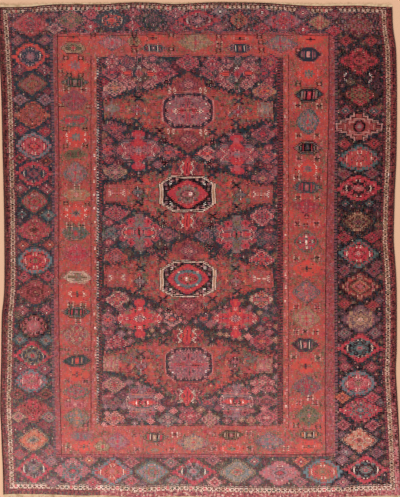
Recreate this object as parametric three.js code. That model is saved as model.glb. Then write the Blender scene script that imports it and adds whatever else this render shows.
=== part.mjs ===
// A traditional soumak rug, lying flat and face up.
//
// The rug is one thick flat-woven cloth. Its two long sides are bound with a
// dark wool cord, and its two short ends run out into a pale strip of undyed
// warp with a short fringe. Nothing is straight on an old hand-woven rug: the
// sides wander by 20 or 30 mm and the ends bow, so each edge has its own table
// of how far it strays from a straight line.
//
// Millimetres. +X is across the rug, +Y is along it and +Z is up from the
// floor. The origin is under the middle of the whole rug, on the floor.

import * as THREE from "three";

// Driving dimensions of the cloth.
const CLOTH_WIDTH = 2440;
const CLOTH_LENGTH = 3000;
const CLOTH_THICKNESS = 4;

// The overcast binding along the two long sides.
const CORD_WIDTH = 9;
const CORD_HEIGHT = 5.5;
const CORD_CHAMFER = 1.4;

// The undyed end strips, each cut as a comb of warp tufts.
const STRIP_THICKNESS = 2.5;
const STRIP_REACH = 32;
const STRIP_LEAST_DEPTH = 6;
const HEADING_SHARE = 0.45;
const TUFT_PITCH = 25;
const TUFT_SHARE = 0.72;

// Two pieces that touch are drawn this far apart.
const SEAM_GAP = 0.3;

// The step at which an edge is drawn between the rows of its table.
const EDGE_STEP = 30;

// How far each long side strays outwards, at so far down from the top end.
const LEFT_SIDE = [
  { down: 0, out: 30 },
  { down: 266, out: 13 },
  { down: 543, out: -1 },
  { down: 882, out: -9 },
  { down: 1159, out: -16 },
  { down: 1344, out: -19 },
  { down: 1714, out: -20 },
  { down: 1825, out: -13 },
  { down: 1886, out: -5 },
  { down: 2176, out: 0 },
  { down: 2391, out: 5 },
  { down: 2496, out: 5 },
  { down: 2607, out: -1 },
  { down: 2730, out: -5 },
  { down: 2853, out: -11 },
  { down: 3000, out: -14 },
];

const RIGHT_SIDE = [
  { down: 0, out: -27 },
  { down: 131, out: -22 },
  { down: 235, out: -6 },
  { down: 328, out: -1 },
  { down: 574, out: 2 },
  { down: 944, out: -2 },
  { down: 1128, out: -11 },
  { down: 1233, out: -14 },
  { down: 1436, out: -18 },
  { down: 1529, out: -12 },
  { down: 1621, out: -5 },
  { down: 1744, out: 0 },
  { down: 2114, out: 0 },
  { down: 2237, out: -5 },
  { down: 2391, out: 3 },
  { down: 2607, out: 14 },
  { down: 2884, out: 26 },
  { down: 3000, out: 30 },
];

// How far each end strays outwards, at so far along from the left side.
const TOP_END = [
  { along: -30, out: -1 },
  { along: 167, out: 1 },
  { along: 272, out: 12 },
  { along: 364, out: 17 },
  { along: 611, out: 17 },
  { along: 796, out: 28 },
  { along: 931, out: 27 },
  { along: 1030, out: 19 },
  { along: 1116, out: 19 },
  { along: 1227, out: 26 },
  { along: 1319, out: 29 },
  { along: 1609, out: 26 },
  { along: 1812, out: 12 },
  { along: 1966, out: 6 },
  { along: 2200, out: 9 },
  { along: 2311, out: 3 },
  { along: 2413, out: -1 },
];

const BOTTOM_END = [
  { along: 14, out: 3 },
  { along: 69, out: 0 },
  { along: 272, out: 2 },
  { along: 488, out: 9 },
  { along: 642, out: 8 },
  { along: 796, out: 17 },
  { along: 870, out: 22 },
  { along: 1030, out: 13 },
  { along: 1165, out: 13 },
  { along: 1412, out: 23 },
  { along: 1596, out: 26 },
  { along: 1843, out: 26 },
  { along: 2151, out: 16 },
  { along: 2305, out: 11 },
  { along: 2470, out: 9 },
];

// The stray at one place, on a smooth curve through the rows of a table. The
// curve's slope at a row is that of the line between the rows beside it.
function strayAt(table, column, place) {
  const last = table.length - 1;
  const held = THREE.MathUtils.clamp(place, table[0][column], table[last][column]);
  const upper = Math.max(1, table.findIndex((row) => row[column] >= held));
  const from = table[upper - 1];
  const to = table[upper];
  const span = to[column] - from[column];
  const slopeAt = (i) => {
    const before = table[Math.max(i - 1, 0)];
    const after = table[Math.min(i + 1, last)];
    return (after.out - before.out) / (after[column] - before[column]);
  };
  const t = (held - from[column]) / span;
  const rise = t * t * (3 - 2 * t);
  const leave = t * (1 - t) * (1 - t) * span;
  const arrive = t * t * (t - 1) * span;
  return (
    from.out * (1 - rise) +
    to.out * rise +
    slopeAt(upper - 1) * leave +
    slopeAt(upper) * arrive
  );
}

// Evenly spaced places from one to another, both included.
function placesBetween(from, to, step) {
  const count = Math.max(1, Math.round((to - from) / step));
  return Array.from({ length: count + 1 }, (_, i) => from + ((to - from) * i) / count);
}

// The outside of a long side at a height y, and the outside of an end at x.
function sideX(sign, y) {
  const table = sign < 0 ? LEFT_SIDE : RIGHT_SIDE;
  return sign * (CLOTH_WIDTH / 2 + strayAt(table, "down", CLOTH_LENGTH / 2 - y));
}

function endY(sign, x) {
  const table = sign > 0 ? TOP_END : BOTTOM_END;
  return sign * (CLOTH_LENGTH / 2 + strayAt(table, "along", x + CLOTH_WIDTH / 2));
}

// The cloth stops short of the outside by the binding and the seam.
const CLOTH_INSET = CORD_WIDTH + SEAM_GAP;

// A corner of the cloth: where its side meets its end.
function clothCorner(sideSign, endSign) {
  let y = (endSign * CLOTH_LENGTH) / 2;
  let x = sideX(sideSign, y) - sideSign * CLOTH_INSET;
  for (let pass = 0; pass < 3; pass += 1) {
    y = endY(endSign, x);
    x = sideX(sideSign, y) - sideSign * CLOTH_INSET;
  }
  return new THREE.Vector2(x, y);
}

// The side of the cloth from its bottom corner up to its top corner.
function clothSide(sideSign) {
  const bottom = clothCorner(sideSign, -1);
  const top = clothCorner(sideSign, 1);
  return placesBetween(bottom.y, top.y, EDGE_STEP).map(
    (y) => new THREE.Vector2(sideX(sideSign, y) - sideSign * CLOTH_INSET, y),
  );
}

// The end of the cloth from its left corner across to its right corner.
function clothEnd(endSign) {
  const left = clothCorner(-1, endSign);
  const right = clothCorner(1, endSign);
  return placesBetween(left.x, right.x, EDGE_STEP).map(
    (x) => new THREE.Vector2(x, endY(endSign, x)),
  );
}

// A flat solid standing on the floor, from an outline that goes round once.
function flatSolid(outline, thickness, chamfer) {
  const shape = new THREE.Shape(outline);
  const geometry = new THREE.ExtrudeGeometry(shape, {
    depth: thickness - 2 * chamfer,
    steps: 1,
    bevelEnabled: chamfer > 0,
    bevelThickness: chamfer,
    bevelSize: chamfer,
    bevelOffset: -chamfer,
    bevelSegments: 1,
  });
  geometry.translate(0, 0, chamfer);
  return geometry;
}

// The whole cloth, with its uneven outline.
function clothGeometry() {
  const outline = [
    ...clothEnd(-1),
    ...clothSide(1).slice(1),
    ...clothEnd(1).reverse().slice(1),
    ...clothSide(-1).reverse().slice(1, -1),
  ];
  return flatSolid(outline, CLOTH_THICKNESS, 0);
}

// One binding: it follows its side of the cloth from corner to corner.
function bindingGeometry(sideSign) {
  const side = clothSide(sideSign);
  const shifted = (distance) =>
    side.map((p) => new THREE.Vector2(p.x + sideSign * distance, p.y));
  const inner = shifted(SEAM_GAP);
  const outer = shifted(SEAM_GAP + CORD_WIDTH);
  const outline =
    sideSign > 0
      ? [...outer, ...inner.reverse()]
      : [...inner, ...outer.reverse()];
  return flatSolid(outline, CORD_HEIGHT, CORD_CHAMFER);
}

// One end strip: a heading along the cloth's end, and tufts that run out of
// it to a nearly straight line. Where the cloth bows out, the tufts are short.
function endStripGeometry(endSign) {
  const clothLine = clothEnd(endSign);
  const first = clothLine[0];
  const last = clothLine[clothLine.length - 1];
  const leftX = first.x - CLOTH_INSET;
  const rightX = last.x + CLOTH_INSET;

  const innerLine = [
    new THREE.Vector2(leftX, first.y),
    ...clothLine,
    new THREE.Vector2(rightX, last.y),
  ].map((p) => new THREE.Vector2(p.x, p.y + endSign * SEAM_GAP));

  const depthAt = (x) => {
    const reach = CLOTH_LENGTH / 2 + STRIP_REACH;
    return Math.max(reach - Math.abs(endY(endSign, x)), STRIP_LEAST_DEPTH) - SEAM_GAP;
  };
  const lineAt = (x, share) =>
    new THREE.Vector2(x, endY(endSign, x) + endSign * (SEAM_GAP + share * depthAt(x)));

  const tuftCount = Math.floor((rightX - leftX) / TUFT_PITCH);
  const pitch = (rightX - leftX) / tuftCount;
  const outerLine = [];
  for (let tuft = 0; tuft < tuftCount; tuft += 1) {
    const middle = leftX + (tuft + 0.5) * pitch;
    const near = tuft === 0 ? leftX : middle - (TUFT_SHARE * pitch) / 2;
    const far = tuft === tuftCount - 1 ? rightX : middle + (TUFT_SHARE * pitch) / 2;
    if (tuft > 0) outerLine.push(lineAt(near, HEADING_SHARE));
    outerLine.push(lineAt(near, 1));
    outerLine.push(lineAt(far, 1));
    if (tuft < tuftCount - 1) outerLine.push(lineAt(far, HEADING_SHARE));
  }

  const outline =
    endSign > 0
      ? [...innerLine, ...outerLine.reverse()]
      : [...outerLine, ...innerLine.reverse()];
  return flatSolid(outline, STRIP_THICKNESS, 0);
}

// Finishes, one for each kind of yarn.
const wovenWool = new THREE.MeshStandardMaterial({
  color: 0x7a3540,
  roughness: 0.95,
  metalness: 0,
});
const darkBindingWool = new THREE.MeshStandardMaterial({
  color: 0x35181a,
  roughness: 0.95,
  metalness: 0,
});
const undyedWarp = new THREE.MeshStandardMaterial({
  color: 0xc9b48d,
  roughness: 0.9,
  metalness: 0,
});

function piece(name, geometry, material) {
  const mesh = new THREE.Mesh(geometry, material);
  mesh.name = name;
  return mesh;
}

const rug = new THREE.Group();
rug.add(
  piece("rug_cloth", clothGeometry(), wovenWool),
  piece("binding_left", bindingGeometry(-1), darkBindingWool),
  piece("binding_right", bindingGeometry(1), darkBindingWool),
  piece("end_strip_top", endStripGeometry(1), undyedWarp),
  piece("end_strip_bottom", endStripGeometry(-1), undyedWarp),
);

// The origin goes under the middle of the whole rug.
const extent = new THREE.Box3().setFromObject(rug);
const middle = extent.getCenter(new THREE.Vector3());
rug.children.forEach((mesh) => mesh.geometry.translate(-middle.x, -middle.y, 0));

export default rug;
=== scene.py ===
# %% [markdown]
# # An old soumak rug, seen from straight above
#
# A soumak rug is woven flat: every weft yarn is wrapped round the warps, so
# the face is made of short slanting stitches instead of a pile. The whole
# picture is a matter of which stitch has which dye.
#
# The rug could be one plane with a picture on it, but a picture can't be
# looked at closely and can't be changed. Here the picture is woven instead: a
# weaver's draft on squared paper is worked out in tables and rules, the cloth
# is a mesh of small cells, and each cell carries the wools of its own stitches.

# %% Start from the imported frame
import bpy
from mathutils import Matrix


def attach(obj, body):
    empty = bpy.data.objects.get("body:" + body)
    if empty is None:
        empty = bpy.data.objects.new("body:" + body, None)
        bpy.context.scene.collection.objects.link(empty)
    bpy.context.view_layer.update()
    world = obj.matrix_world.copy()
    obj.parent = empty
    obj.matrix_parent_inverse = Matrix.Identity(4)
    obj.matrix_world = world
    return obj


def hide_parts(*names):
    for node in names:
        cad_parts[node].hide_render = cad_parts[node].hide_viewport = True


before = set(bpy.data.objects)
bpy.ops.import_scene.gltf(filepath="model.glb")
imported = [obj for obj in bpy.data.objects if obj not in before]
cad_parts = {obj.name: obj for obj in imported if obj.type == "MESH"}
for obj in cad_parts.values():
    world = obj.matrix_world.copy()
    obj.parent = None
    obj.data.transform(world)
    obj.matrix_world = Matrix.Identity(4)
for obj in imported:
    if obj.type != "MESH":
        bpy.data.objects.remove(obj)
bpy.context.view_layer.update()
import math

import bmesh
import bpy
import numpy as np
from mathutils import Vector

# %% [markdown]
# ## Camera
#
# The photograph was taken from straight above, a little off the middle of the
# rug. A long lens from high up keeps the rug's sides parallel, as there. The
# camera is a real perspective one, so that other views can use it too.

# %% The camera
# one square of the draft, which is also what one pixel of the photograph shows
IMAGE = (400, 497)
SQUARE = 0.00616
PICTURE_MIDDLE = (0.0068, 0.0111)
CLOTH_TOP = 0.0040
LENS = 90.0
SENSOR = 36.0

lens = bpy.data.cameras.new("overhead")
lens.lens = LENS
lens.sensor_width = SENSOR
lens.clip_end = 100
camera = bpy.data.objects.new("overhead", lens)
bpy.context.scene.collection.objects.link(camera)
camera_height = IMAGE[1] * SQUARE * LENS / SENSOR
camera.location = (*PICTURE_MIDDLE, camera_height + CLOTH_TOP)
bpy.context.scene.camera = camera
print("camera height", round(camera_height, 3), "m")

# %% [markdown]
# ## Light
#
# A rug is photographed for its colours, so the light is even: a bright room
# all round, and two wide soft boxes high up. One stands nearer the bottom left
# corner, which makes that side a little lighter and lets the ribs show.

# %% Lights
ROOM_LIGHT = 0.78


def soft_box(name, place, size, watts):
    """A wide area light that looks at the middle of the floor."""
    light = bpy.data.lights.new(name, "AREA")
    light.shape = "RECTANGLE"
    light.size, light.size_y = size
    light.energy = watts
    lamp = bpy.data.objects.new(name, light)
    lamp.location = place
    lamp.rotation_euler = Vector(place).to_track_quat("Z", "Y").to_euler()
    bpy.context.scene.collection.objects.link(lamp)
    print(name, watts, "W")


soft_box("key_box", (-3.4, -4.2, 5.2), (3.0, 3.0), 230)
soft_box("fill_box", (3.6, 4.0, 5.6), (3.0, 3.0), 110)
room = bpy.data.worlds.new("bright_room")
room.use_nodes = True
walls = room.node_tree.nodes["Background"].inputs
walls["Color"].default_value = (1, 1, 1, 1)
walls["Strength"].default_value = ROOM_LIGHT
bpy.context.scene.world = room
bpy.context.scene.view_settings.view_transform = "Standard"

# %% [markdown]
# ## The cloth's outline
#
# No edge of the rug is straight: the sides wander and the ends bow. The CAD
# cloth already has that outline, so the visual one reads it from there and
# can't disagree with it.

# %% Four edge lines read from the CAD cloth
# what lies further out than this belongs to an end
END_ZONE = 1.49

points = np.array([v.co[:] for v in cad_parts["rug_cloth"].data.vertices])
points = np.unique(np.round(points[points[:, 2] < CLOTH_TOP / 2, :2], 5), axis=0)
at_end = np.abs(points[:, 1]) > END_ZONE


def in_order(some, axis):
    """Points in the order of their places along one axis."""
    return some[np.argsort(some[:, axis])]


top_line = in_order(points[at_end & (points[:, 1] > 0)], 0)
bottom_line = in_order(points[at_end & (points[:, 1] < 0)], 0)


def long_side(sign, corner):
    """A side from bottom to top, with the corners that it shares with the ends."""
    own = points[~at_end & (points[:, 0] * sign > 0)]
    return in_order(np.vstack([own, bottom_line[corner], top_line[corner]]), 1)


left_line = long_side(-1, [0])
right_line = long_side(1, [-1])


def side_at(side, y):
    """Where a long side is at this y."""
    return np.interp(y, side[:, 1], side[:, 0])


def end_at(end, x):
    """Where an end is at this x."""
    return np.interp(x, end[:, 0], end[:, 1])


print("edge points", len(left_line), len(right_line), len(top_line), len(bottom_line))

# %% [markdown]
# ## The draft
#
# The weaver's draft is squared paper. One square is 6.16 mm of rug, so the rug
# is 396 squares wide and 487 long, counted from its top left. The cloth is
# stretched between its four edges: a place (across, down) from 0 to 1 becomes
# a real place, and so the draft's lines run with the edges.
#
# The rug is then cut into cells of 4 by 4 stitches. A stitch is about 2.2 mm,
# which is a fine soumak wrap.
#
# All places in the tables below are in squares, across and down.

# %% The grid of cells and stitches
CELLS_ACROSS, CELLS_DOWN = 276, 344
IN_CELL = 4
DRAFT_MIDDLE = (198.9, 250.3)
ROUGH_WIDTH, ROUGH_LENGTH = 2.48, 3.0
CORD_WIDTH = 0.0090
SEAM = 0.0003


def laid_out(across, down):
    """Real places for places from 0 to 1 across and down the cloth."""
    x = ROUGH_WIDTH * across - ROUGH_WIDTH / 2
    y = ROUGH_LENGTH / 2 - ROUGH_LENGTH * down
    # a side's place depends on y and an end's on x, so the two are found in turns
    for _ in range(5):
        left, right = side_at(left_line, y), side_at(right_line, y)
        x = left + (right - left) * across
        top, bottom = end_at(top_line, x), end_at(bottom_line, x)
        y = top + (bottom - top) * down
    return x, y


ACROSS, DOWN = CELLS_ACROSS * IN_CELL, CELLS_DOWN * IN_CELL
stitch_middles = np.meshgrid((np.arange(ACROSS) + 0.5) / ACROSS, (np.arange(DOWN) + 0.5) / DOWN)
x, y = laid_out(*stitch_middles)
PX = x / SQUARE + DRAFT_MIDDLE[0]
PY = DRAFT_MIDDLE[1] - y / SQUARE

# the rug's outlines in squares, binding included
BINDING = (CORD_WIDTH + SEAM) / SQUARE
OUT_LEFT = side_at(left_line, y) / SQUARE + DRAFT_MIDDLE[0] - BINDING
OUT_RIGHT = side_at(right_line, y) / SQUARE + DRAFT_MIDDLE[0] + BINDING
OUT_TOP = DRAFT_MIDDLE[1] - end_at(top_line, x) / SQUARE
OUT_BOTTOM = DRAFT_MIDDLE[1] - end_at(bottom_line, x) / SQUARE
print("stitches", PX.size, "each", round(1000 * (x[0, 1] - x[0, 0]), 2), "mm wide")

# %% [markdown]
# ## Wools
#
# Thirty-one dyed wools, named as a dyer would know them. The hex values are
# what each looks like in even light. The chart holds one wool number for each
# stitch.

# %% The wools
WOOLS = {
    "ink": "#1e1215", "navy": "#2b353e", "night": "#38232a", "pine": "#2f392f", "teal": "#505f5e",
    "lake": "#5f696c", "moss": "#5a5140", "slate": "#3f3b3e", "maroon": "#5d2a2a",
    "plum": "#562c35", "brown": "#50302b", "brick": "#a04541", "rust": "#a64e42",
    "madder": "#8a413d", "crimson": "#a93741", "scarlet": "#be453e", "rose": "#a7565a",
    "pink": "#c07c75", "berry": "#883a41", "mauve": "#7f4c53", "lilac": "#846469",
    "dusk": "#66464c", "olive": "#745e48", "tan": "#9f745b", "sand": "#b98f7c", "cream": "#d4ae9c",
    "white": "#ead3c6", "orange": "#bd6148", "salmon": "#b27a72", "grey": "#7a6a66",
    "denim": "#3d4949",
}
NAMES = list(WOOLS)
NUMBER = {name: i for i, name in enumerate(NAMES)}
wool = np.zeros(PX.shape, np.uint8)


def linear(colour):
    """An sRGB hex colour as the linear colour that shaders take."""
    parts = [int(colour[i : i + 2], 16) / 255 for i in (1, 3, 5)]
    return [p / 12.92 if p <= 0.04045 else ((p + 0.055) / 1.055) ** 2.4 for p in parts]


print(len(WOOLS), "wools")

# %% [markdown]
# ## Chance that stays the same
#
# Hand-dyed and hand-spun wool is never even, so most areas mix a few wools. A
# random generator would do, but a steady number worked out from a cell's own
# place is simpler: it needs no seed to be kept and gives the same rug each run.

# %% Steady chance
def speckle(a, b, seed):
    """A steady number from 0 to 1 for each pair of whole numbers."""
    a, b = np.asarray(a).astype(np.int64), np.asarray(b).astype(np.int64)
    n = (a * 73856093) ^ (b * 19349663) ^ (seed * 83492791)
    n = ((n ^ (n >> 13)) * 1274126177) & 0xFFFFFFFF
    return ((n ^ (n >> 16)) & 0xFFFF) / 65536


def clouds(a, b, size, seed):
    """The same, but smooth, with soft patches of about this size."""
    a, b = a / size, b / size
    i, j = np.floor(a), np.floor(b)
    s, t = a - i, b - j
    s, t = s * s * (3 - 2 * s), t * t * (3 - 2 * t)
    upper = speckle(i, j, seed) * (1 - s) + speckle(i + 1, j, seed) * s
    lower = speckle(i, j + 1, seed) * (1 - s) + speckle(i + 1, j + 1, seed) * s
    return upper * (1 - t) + lower * t


print("steady numbers", speckle(np.arange(3), 5, 1).round(3))

# %% [markdown]
# ## Tables in short texts
#
# Everything a weaver has to know is written in short tables: rows of words,
# with a comma or the end of the line between two rows. So a motif is a text
# that can be read aloud, and a change in the pattern is a change of a word.

# %% Read a table, follow a line, paint an area
def table_rows(text):
    """The rows of a table, each as a list of its words."""
    return [row.split() for row in text.replace("\n", ",").split(",") if row.strip()]


def spots(across, down):
    """The places that a row gives: 66/81 57 is two of them side by side."""
    xs, ys = across.split("/"), down.split("/")
    return [(float(xs[i % len(xs)]), float(ys[i % len(ys)])) for i in range(max(len(xs), len(ys)))]


def pick(names, chance):
    """Wool numbers for chances from 0 to 1. A name given twice comes twice as often."""
    numbers = np.array([NUMBER[n] for n in names.replace("+", " ").split()], np.uint8)
    return numbers[np.clip(chance * len(numbers), 0, len(numbers) - 1).astype(int)]


def line(text, place):
    """A smooth line through rows of (place, value)."""
    places, values = np.array(table_rows(text), float).T
    return np.interp(place, places, values)


def paint(area, names, chance=None):
    """Gives the stitches of an area their wools, mixed by their own chances."""
    wool[area] = pick(names, GRAIN[area] if chance is None else chance[area])


# the spun yarn changes its shade about every 9 mm along a row and every 7 mm down
GRAIN = speckle(np.floor(PX / 1.5 + PY * 0.13), np.floor(PY / 1.1), 3)
print("grain from", round(float(GRAIN.min()), 3), "to", round(float(GRAIN.max()), 3))

# %% [markdown]
# ## Steps
#
# Soumak can't draw a smooth slant. A colour moves over by a few warps every
# few rows, so each outline is a small staircase. Before a shape is tested, its
# place is rounded to steps of two warps and three rows. A slow wander is
# added first, because a weaver's rows are never quite level.

# %% Stepped places
STEP_ACROSS, STEP_DOWN = 0.71, 1.065

wander_x = 0.5 * np.sin(PY / 9.1 + 1.3) * np.sin(PX / 23) + 0.3 * np.sin(PY / 3.7 + PX / 17)
wander_y = 0.5 * np.sin(PX / 11.3 + 0.4) * np.sin(PY / 29 + 2) + 0.3 * np.sin(PX / 4.1 + PY / 19)
SX = np.round((PX + wander_x) / STEP_ACROSS) * STEP_ACROSS
SY = np.round((PY + wander_y) / STEP_DOWN) * STEP_DOWN
print("steps of", round(1000 * STEP_ACROSS * SQUARE, 1), "by", round(1000 * STEP_DOWN * SQUARE, 1), "mm")

# %% [markdown]
# ## Motifs
#
# Everything on the rug is built of fifteen small shapes: lozenges, hexagons,
# hourglasses, flowers, arrow heads, brackets. A motif is a text with one layer
# after another, painted from the largest to the smallest:
#
#     crimson loz 17 14 1.1, cream arc 9 3
#
# is a crimson lozenge 17 squares to each side and 14 up and down, with a pair
# of cream brackets on it. A third number makes a lozenge rounder. Words after
# "at" move a shape, and it is then folded over both axes, as a weaver repeats
# it four times. Several wools joined by + make a mottle that is mirrored in the
# same way. A "stair" is a lozenge whose slanting edge is cut into even stairs.

# %% The shapes
STAIRS = 7


def shape_of(kind, u, v, a, b, k=None, t=None):
    """Where a shape is, for places counted from its middle."""
    U, V = np.abs(u), np.abs(v)
    if kind == "loz":
        return (U / a) ** (k or 1) + (V / b) ** (k or 1) <= 1
    if kind == "stair":
        U, V = [(np.floor(part * STAIRS) + 0.5) / STAIRS for part in (U / a, V / b)]
        return U ** (k or 1) + V ** (k or 1) <= 1
    if kind == "hex":
        return (V <= b) & (U <= a * (1 - (k or 0.5) * V / b))
    if kind == "bow":
        return (V <= b) & (U <= a * (1 - (k or 0.5) * (1 - V / b)))
    if kind == "oct":
        return (U <= a) & (V <= b) & (U / a + V / b <= 2 - (k or 0.6))
    if kind == "box":
        return (U <= max(a, 0.36)) & (V <= max(b, 0.54))
    if kind == "ray":
        turn = np.arctan2(V / b, U / a)
        return np.hypot(U / a, V / b) <= 1 - (k or 0.35) * (0.5 - 0.5 * np.cos((t or 8) * turn))
    if kind == "arc":
        return (V <= b) & (np.abs(U - (a - (k or 0.08) * V * V)) <= (t or 0.5))
    if kind == "vee":
        return (V <= b) & (np.abs(U - (a - (k or 1) * V)) <= (t or 0.5) * math.hypot(1, k or 1))
    if kind == "wed":
        return (U <= b) & (np.abs(V - (a - (k or 1) * U)) <= (t or 0.5) * math.hypot(1, k or 1))
    if kind == "cut":
        return (V <= b) & (np.abs(u - a * v) <= (k or 0.45))
    if kind == "saw":
        return (U / a) ** 1.08 + (V / b) ** 1.08 + (k or 0.1) * ((U - V) % (t or 3.2) < (t or 3.2) / 2) <= 1
    if kind == "ex":
        return (V <= b) & (U <= a) & (np.abs(U * b - V * a) <= (k or 0.7) * math.hypot(a, b))
    if kind == "bars":
        return (V <= b) & (U <= a) & ((U + (k or 2.4) / 4) % (k or 2.4) < (k or 2.4) / 2)
    if kind == "lines":
        return (V <= b) & (U <= a) & ((V + (k or 2.4) / 4) % (k or 2.4) < (k or 2.4) / 2)
    raise ValueError(kind)


# %% Windows and motifs
MARGIN = 6
# a mottle's patches are four stitches wide and three high, the same on all four sides of a motif
MOTTLE_WIDE, MOTTLE_HIGH = 1.4, 1.05


def window(cx, cy, wide, high):
    """The part of the chart round a place, so that a small motif costs little."""
    column = int(np.clip(cx / IMAGE[0] * ACROSS, 0, ACROSS - 1))
    r0, r1 = np.searchsorted(PY[:, column], (cy - high, cy + high))
    row = min(max((r0 + r1) // 2, 0), DOWN - 1)
    c0, c1 = np.searchsorted(PX[row], (cx - wide, cx + wide))
    return slice(r0, r1), slice(c0, c1)


def motif(cx, cy, text, sx=1.0, sy=1.0, **swap):
    """Weaves a motif round (cx, cy), drawn larger or smaller by sx and sy."""
    cx = round(cx / STEP_ACROSS) * STEP_ACROSS
    cy = round(cy / STEP_DOWN) * STEP_DOWN
    swap = {"N": "navy", **swap}
    for words in table_rows(text):
        at = words.index("at") if "at" in words else len(words)
        sizes = [float(n) for n in words[2:at]]
        dx, dy = [float(n) for n in words[at + 1 : at + 3]] or (0.0, 0.0)
        reach = sizes[1::-1] if words[1] == "wed" else sizes[:2]
        win = window(cx, cy, (abs(dx) + reach[0] + MARGIN) * sx, (abs(dy) + reach[1] + MARGIN) * sy)
        u, v = (SX[win] - cx) / sx, (SY[win] - cy) / sy
        lu = np.abs(u) - dx if dx and "once" not in words else u - dx
        lv = np.abs(v) - dy if dy and "once" not in words else v - dy
        inside = shape_of(words[1], lu, lv, *sizes)
        wools = " ".join(swap.get(n, n) for n in words[0].split("+"))
        column, row = np.floor(np.abs(u) / MOTTLE_WIDE), np.floor(np.abs(v) / MOTTLE_HIGH)
        chance = speckle(column, row, int(cx * 7 + cy * 13))
        wool[win][inside] = pick(wools, chance)[inside]


# %% [markdown]
# ## Bands and borders
#
# From outside in there are seven parts: a maroon band, a cream band of beads,
# the dark main border, a narrow guard, the red border, a narrow inner band
# and the field. Each frame line is a short row of places, because the inner
# borders lean and bend with the weaving.

# %% The frames, from outside in
# the two outer frames keep their distance from the rug's outline
FRAMES = [
    (OUT_LEFT + 6.2, OUT_RIGHT - 6, OUT_TOP + 2.5, OUT_BOTTOM - 5.6),
    (OUT_LEFT + 11.4, OUT_RIGHT - 12, OUT_TOP + 6, OUT_BOTTOM - 10.7),
]
# the four inner ones follow their own lines
for left, right, top, bottom in (
    ("60 53, 150 55, 300 54, 400 55, 450 56", "34 334.5, 60 334.6, 100 335, 245 334, 400 335, 454 335",
     "55 33.5, 200 31, 335 33", "55 457, 200 457.5, 335 456"),
    ("60 57.5, 150 59, 300 58.7, 400 60, 450 61.5", "34 329, 60 329, 100 329, 245 326, 400 325, 454 326",
     "55 36, 200 33.8, 335 35.5", "55 454, 335 454"),
    ("60 90.5, 450 90.5", "60 290, 245 289, 450 289", "90 54, 200 53.2, 290 54", "90 430, 290 430"),
    ("60 98.6, 130 99.5, 200 100.4, 300 100.5, 400 99.8", "60 280, 245 281, 424 281",
     "97 57, 200 56, 282 57", "97 425.5, 282 425.5"),
):
    FRAMES.append((line(left, PY), line(right, PY), line(top, PX), line(bottom, PX)))
OUTER, BEADS, MAIN, GUARD, RED, INNER, FIELD = range(7)
band = sum(((PX > a) & (PX < b) & (PY > c) & (PY < d)).astype(np.uint8) for a, b, c, d in FRAMES)

# the bands that go round a corner run along the nearer edge, and meet this far from the outline
MEET_SIDE, MEET_TOP, MEET_BOTTOM = 5, 1.5, 4.5
to_side = np.minimum(PX - OUT_LEFT, OUT_RIGHT - PX)
on_side = to_side - MEET_SIDE < np.minimum(PY - OUT_TOP - MEET_TOP, OUT_BOTTOM - PY - MEET_BOTTOM)
along = np.where(on_side, PY, PX)
deep = np.where(on_side, to_side, np.minimum(PY - OUT_TOP, OUT_BOTTOM - PY))


def beat(place, pitch):
    """How far a stitch lies from the middle of its repeat, and the repeat's number."""
    number = np.floor(place / pitch)
    return place - (number + 0.5) * pitch, number.astype(int)


print("stitches in each band", np.bincount(band.ravel()))

# %% The maroon band and its dark spots
SPOT_PITCH = 3.8
SIDE_SPOTS, END_SPOTS, INNER_SPOTS = 3.6, 1.6, 5.4
REDDER_FROM, PALE_BELOW, CORNER_FROM = 300, 480, 380

m = band == OUTER
paint(m, "maroon madder maroon plum maroon madder brown")
off, n = beat(along, SPOT_PITCH)
spot_line = np.where(on_side, SIDE_SPOTS, END_SPOTS)
paint(m & (np.abs(off) < 1.0) & (np.abs(deep - spot_line) < 1.1), "ink ink brown")
off, n = beat(along + SPOT_PITCH / 2, SPOT_PITCH)
paint(m & on_side & (np.abs(off) < 0.8) & (np.abs(deep - INNER_SPOTS) < 0.6), "ink rose madder")
# it is redder on the right, paler along the bottom and worn towards the bottom right corner
paint(m & (PX > REDDER_FROM) & (GRAIN > 0.8), "rust madder")
paint(m & (PY > PALE_BELOW) & (PX > 100), "madder rose maroon plum madder sand berry")
worn = (PX > CORNER_FROM) & (PY > CORNER_FROM) & (GRAIN > (PALE_BELOW - PY) / 120)
paint(m & worn, "madder rose salmon rose maroon rose")
print("stitches of the maroon band that are worn", int(np.sum(m & worn)))

# %% The cream band of beads
SIDE_BEAD, END_BEAD = 3.75, 4.6
SIDE_LINE, TOP_LINE, BOTTOM_LINE = 8.9, 4.3, 8.1

m = band == BEADS
paint(m, "maroon brown madder navy")
bead_line = np.where(on_side, SIDE_LINE, np.where(PY < DRAFT_MIDDLE[1], TOP_LINE, BOTTOM_LINE))
from_line = np.abs(deep - bead_line)
off, n = beat(along, SIDE_BEAD)
part = m & on_side
paint(part & (np.hypot(off / 1.95, from_line / 2.4) < 1), "cream sand tan sand tan olive")
paint(part & (from_line < 0.5), "sand tan")
eyes = part & (np.hypot(off / 1.25, from_line / 1.2) < 1)
paint(eyes, "ink brown brown maroon ink olive", speckle(n, 0, 5))
off, n = beat(along, END_BEAD)
part = m & ~on_side
paint(part & (from_line < 2.3), "cream sand tan cream tan")
eyes = part & (np.hypot(off / 1.4, from_line / 1.3) < 1)
paint(eyes, "ink maroon ink brown pine maroon crimson", speckle(n, 0, 6))
paint(part & (np.abs(np.abs(off) - END_BEAD / 2) < 0.5) & (from_line > 1), "maroon brown navy")
print("beads along an end", len(np.unique(n[part])))

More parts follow.
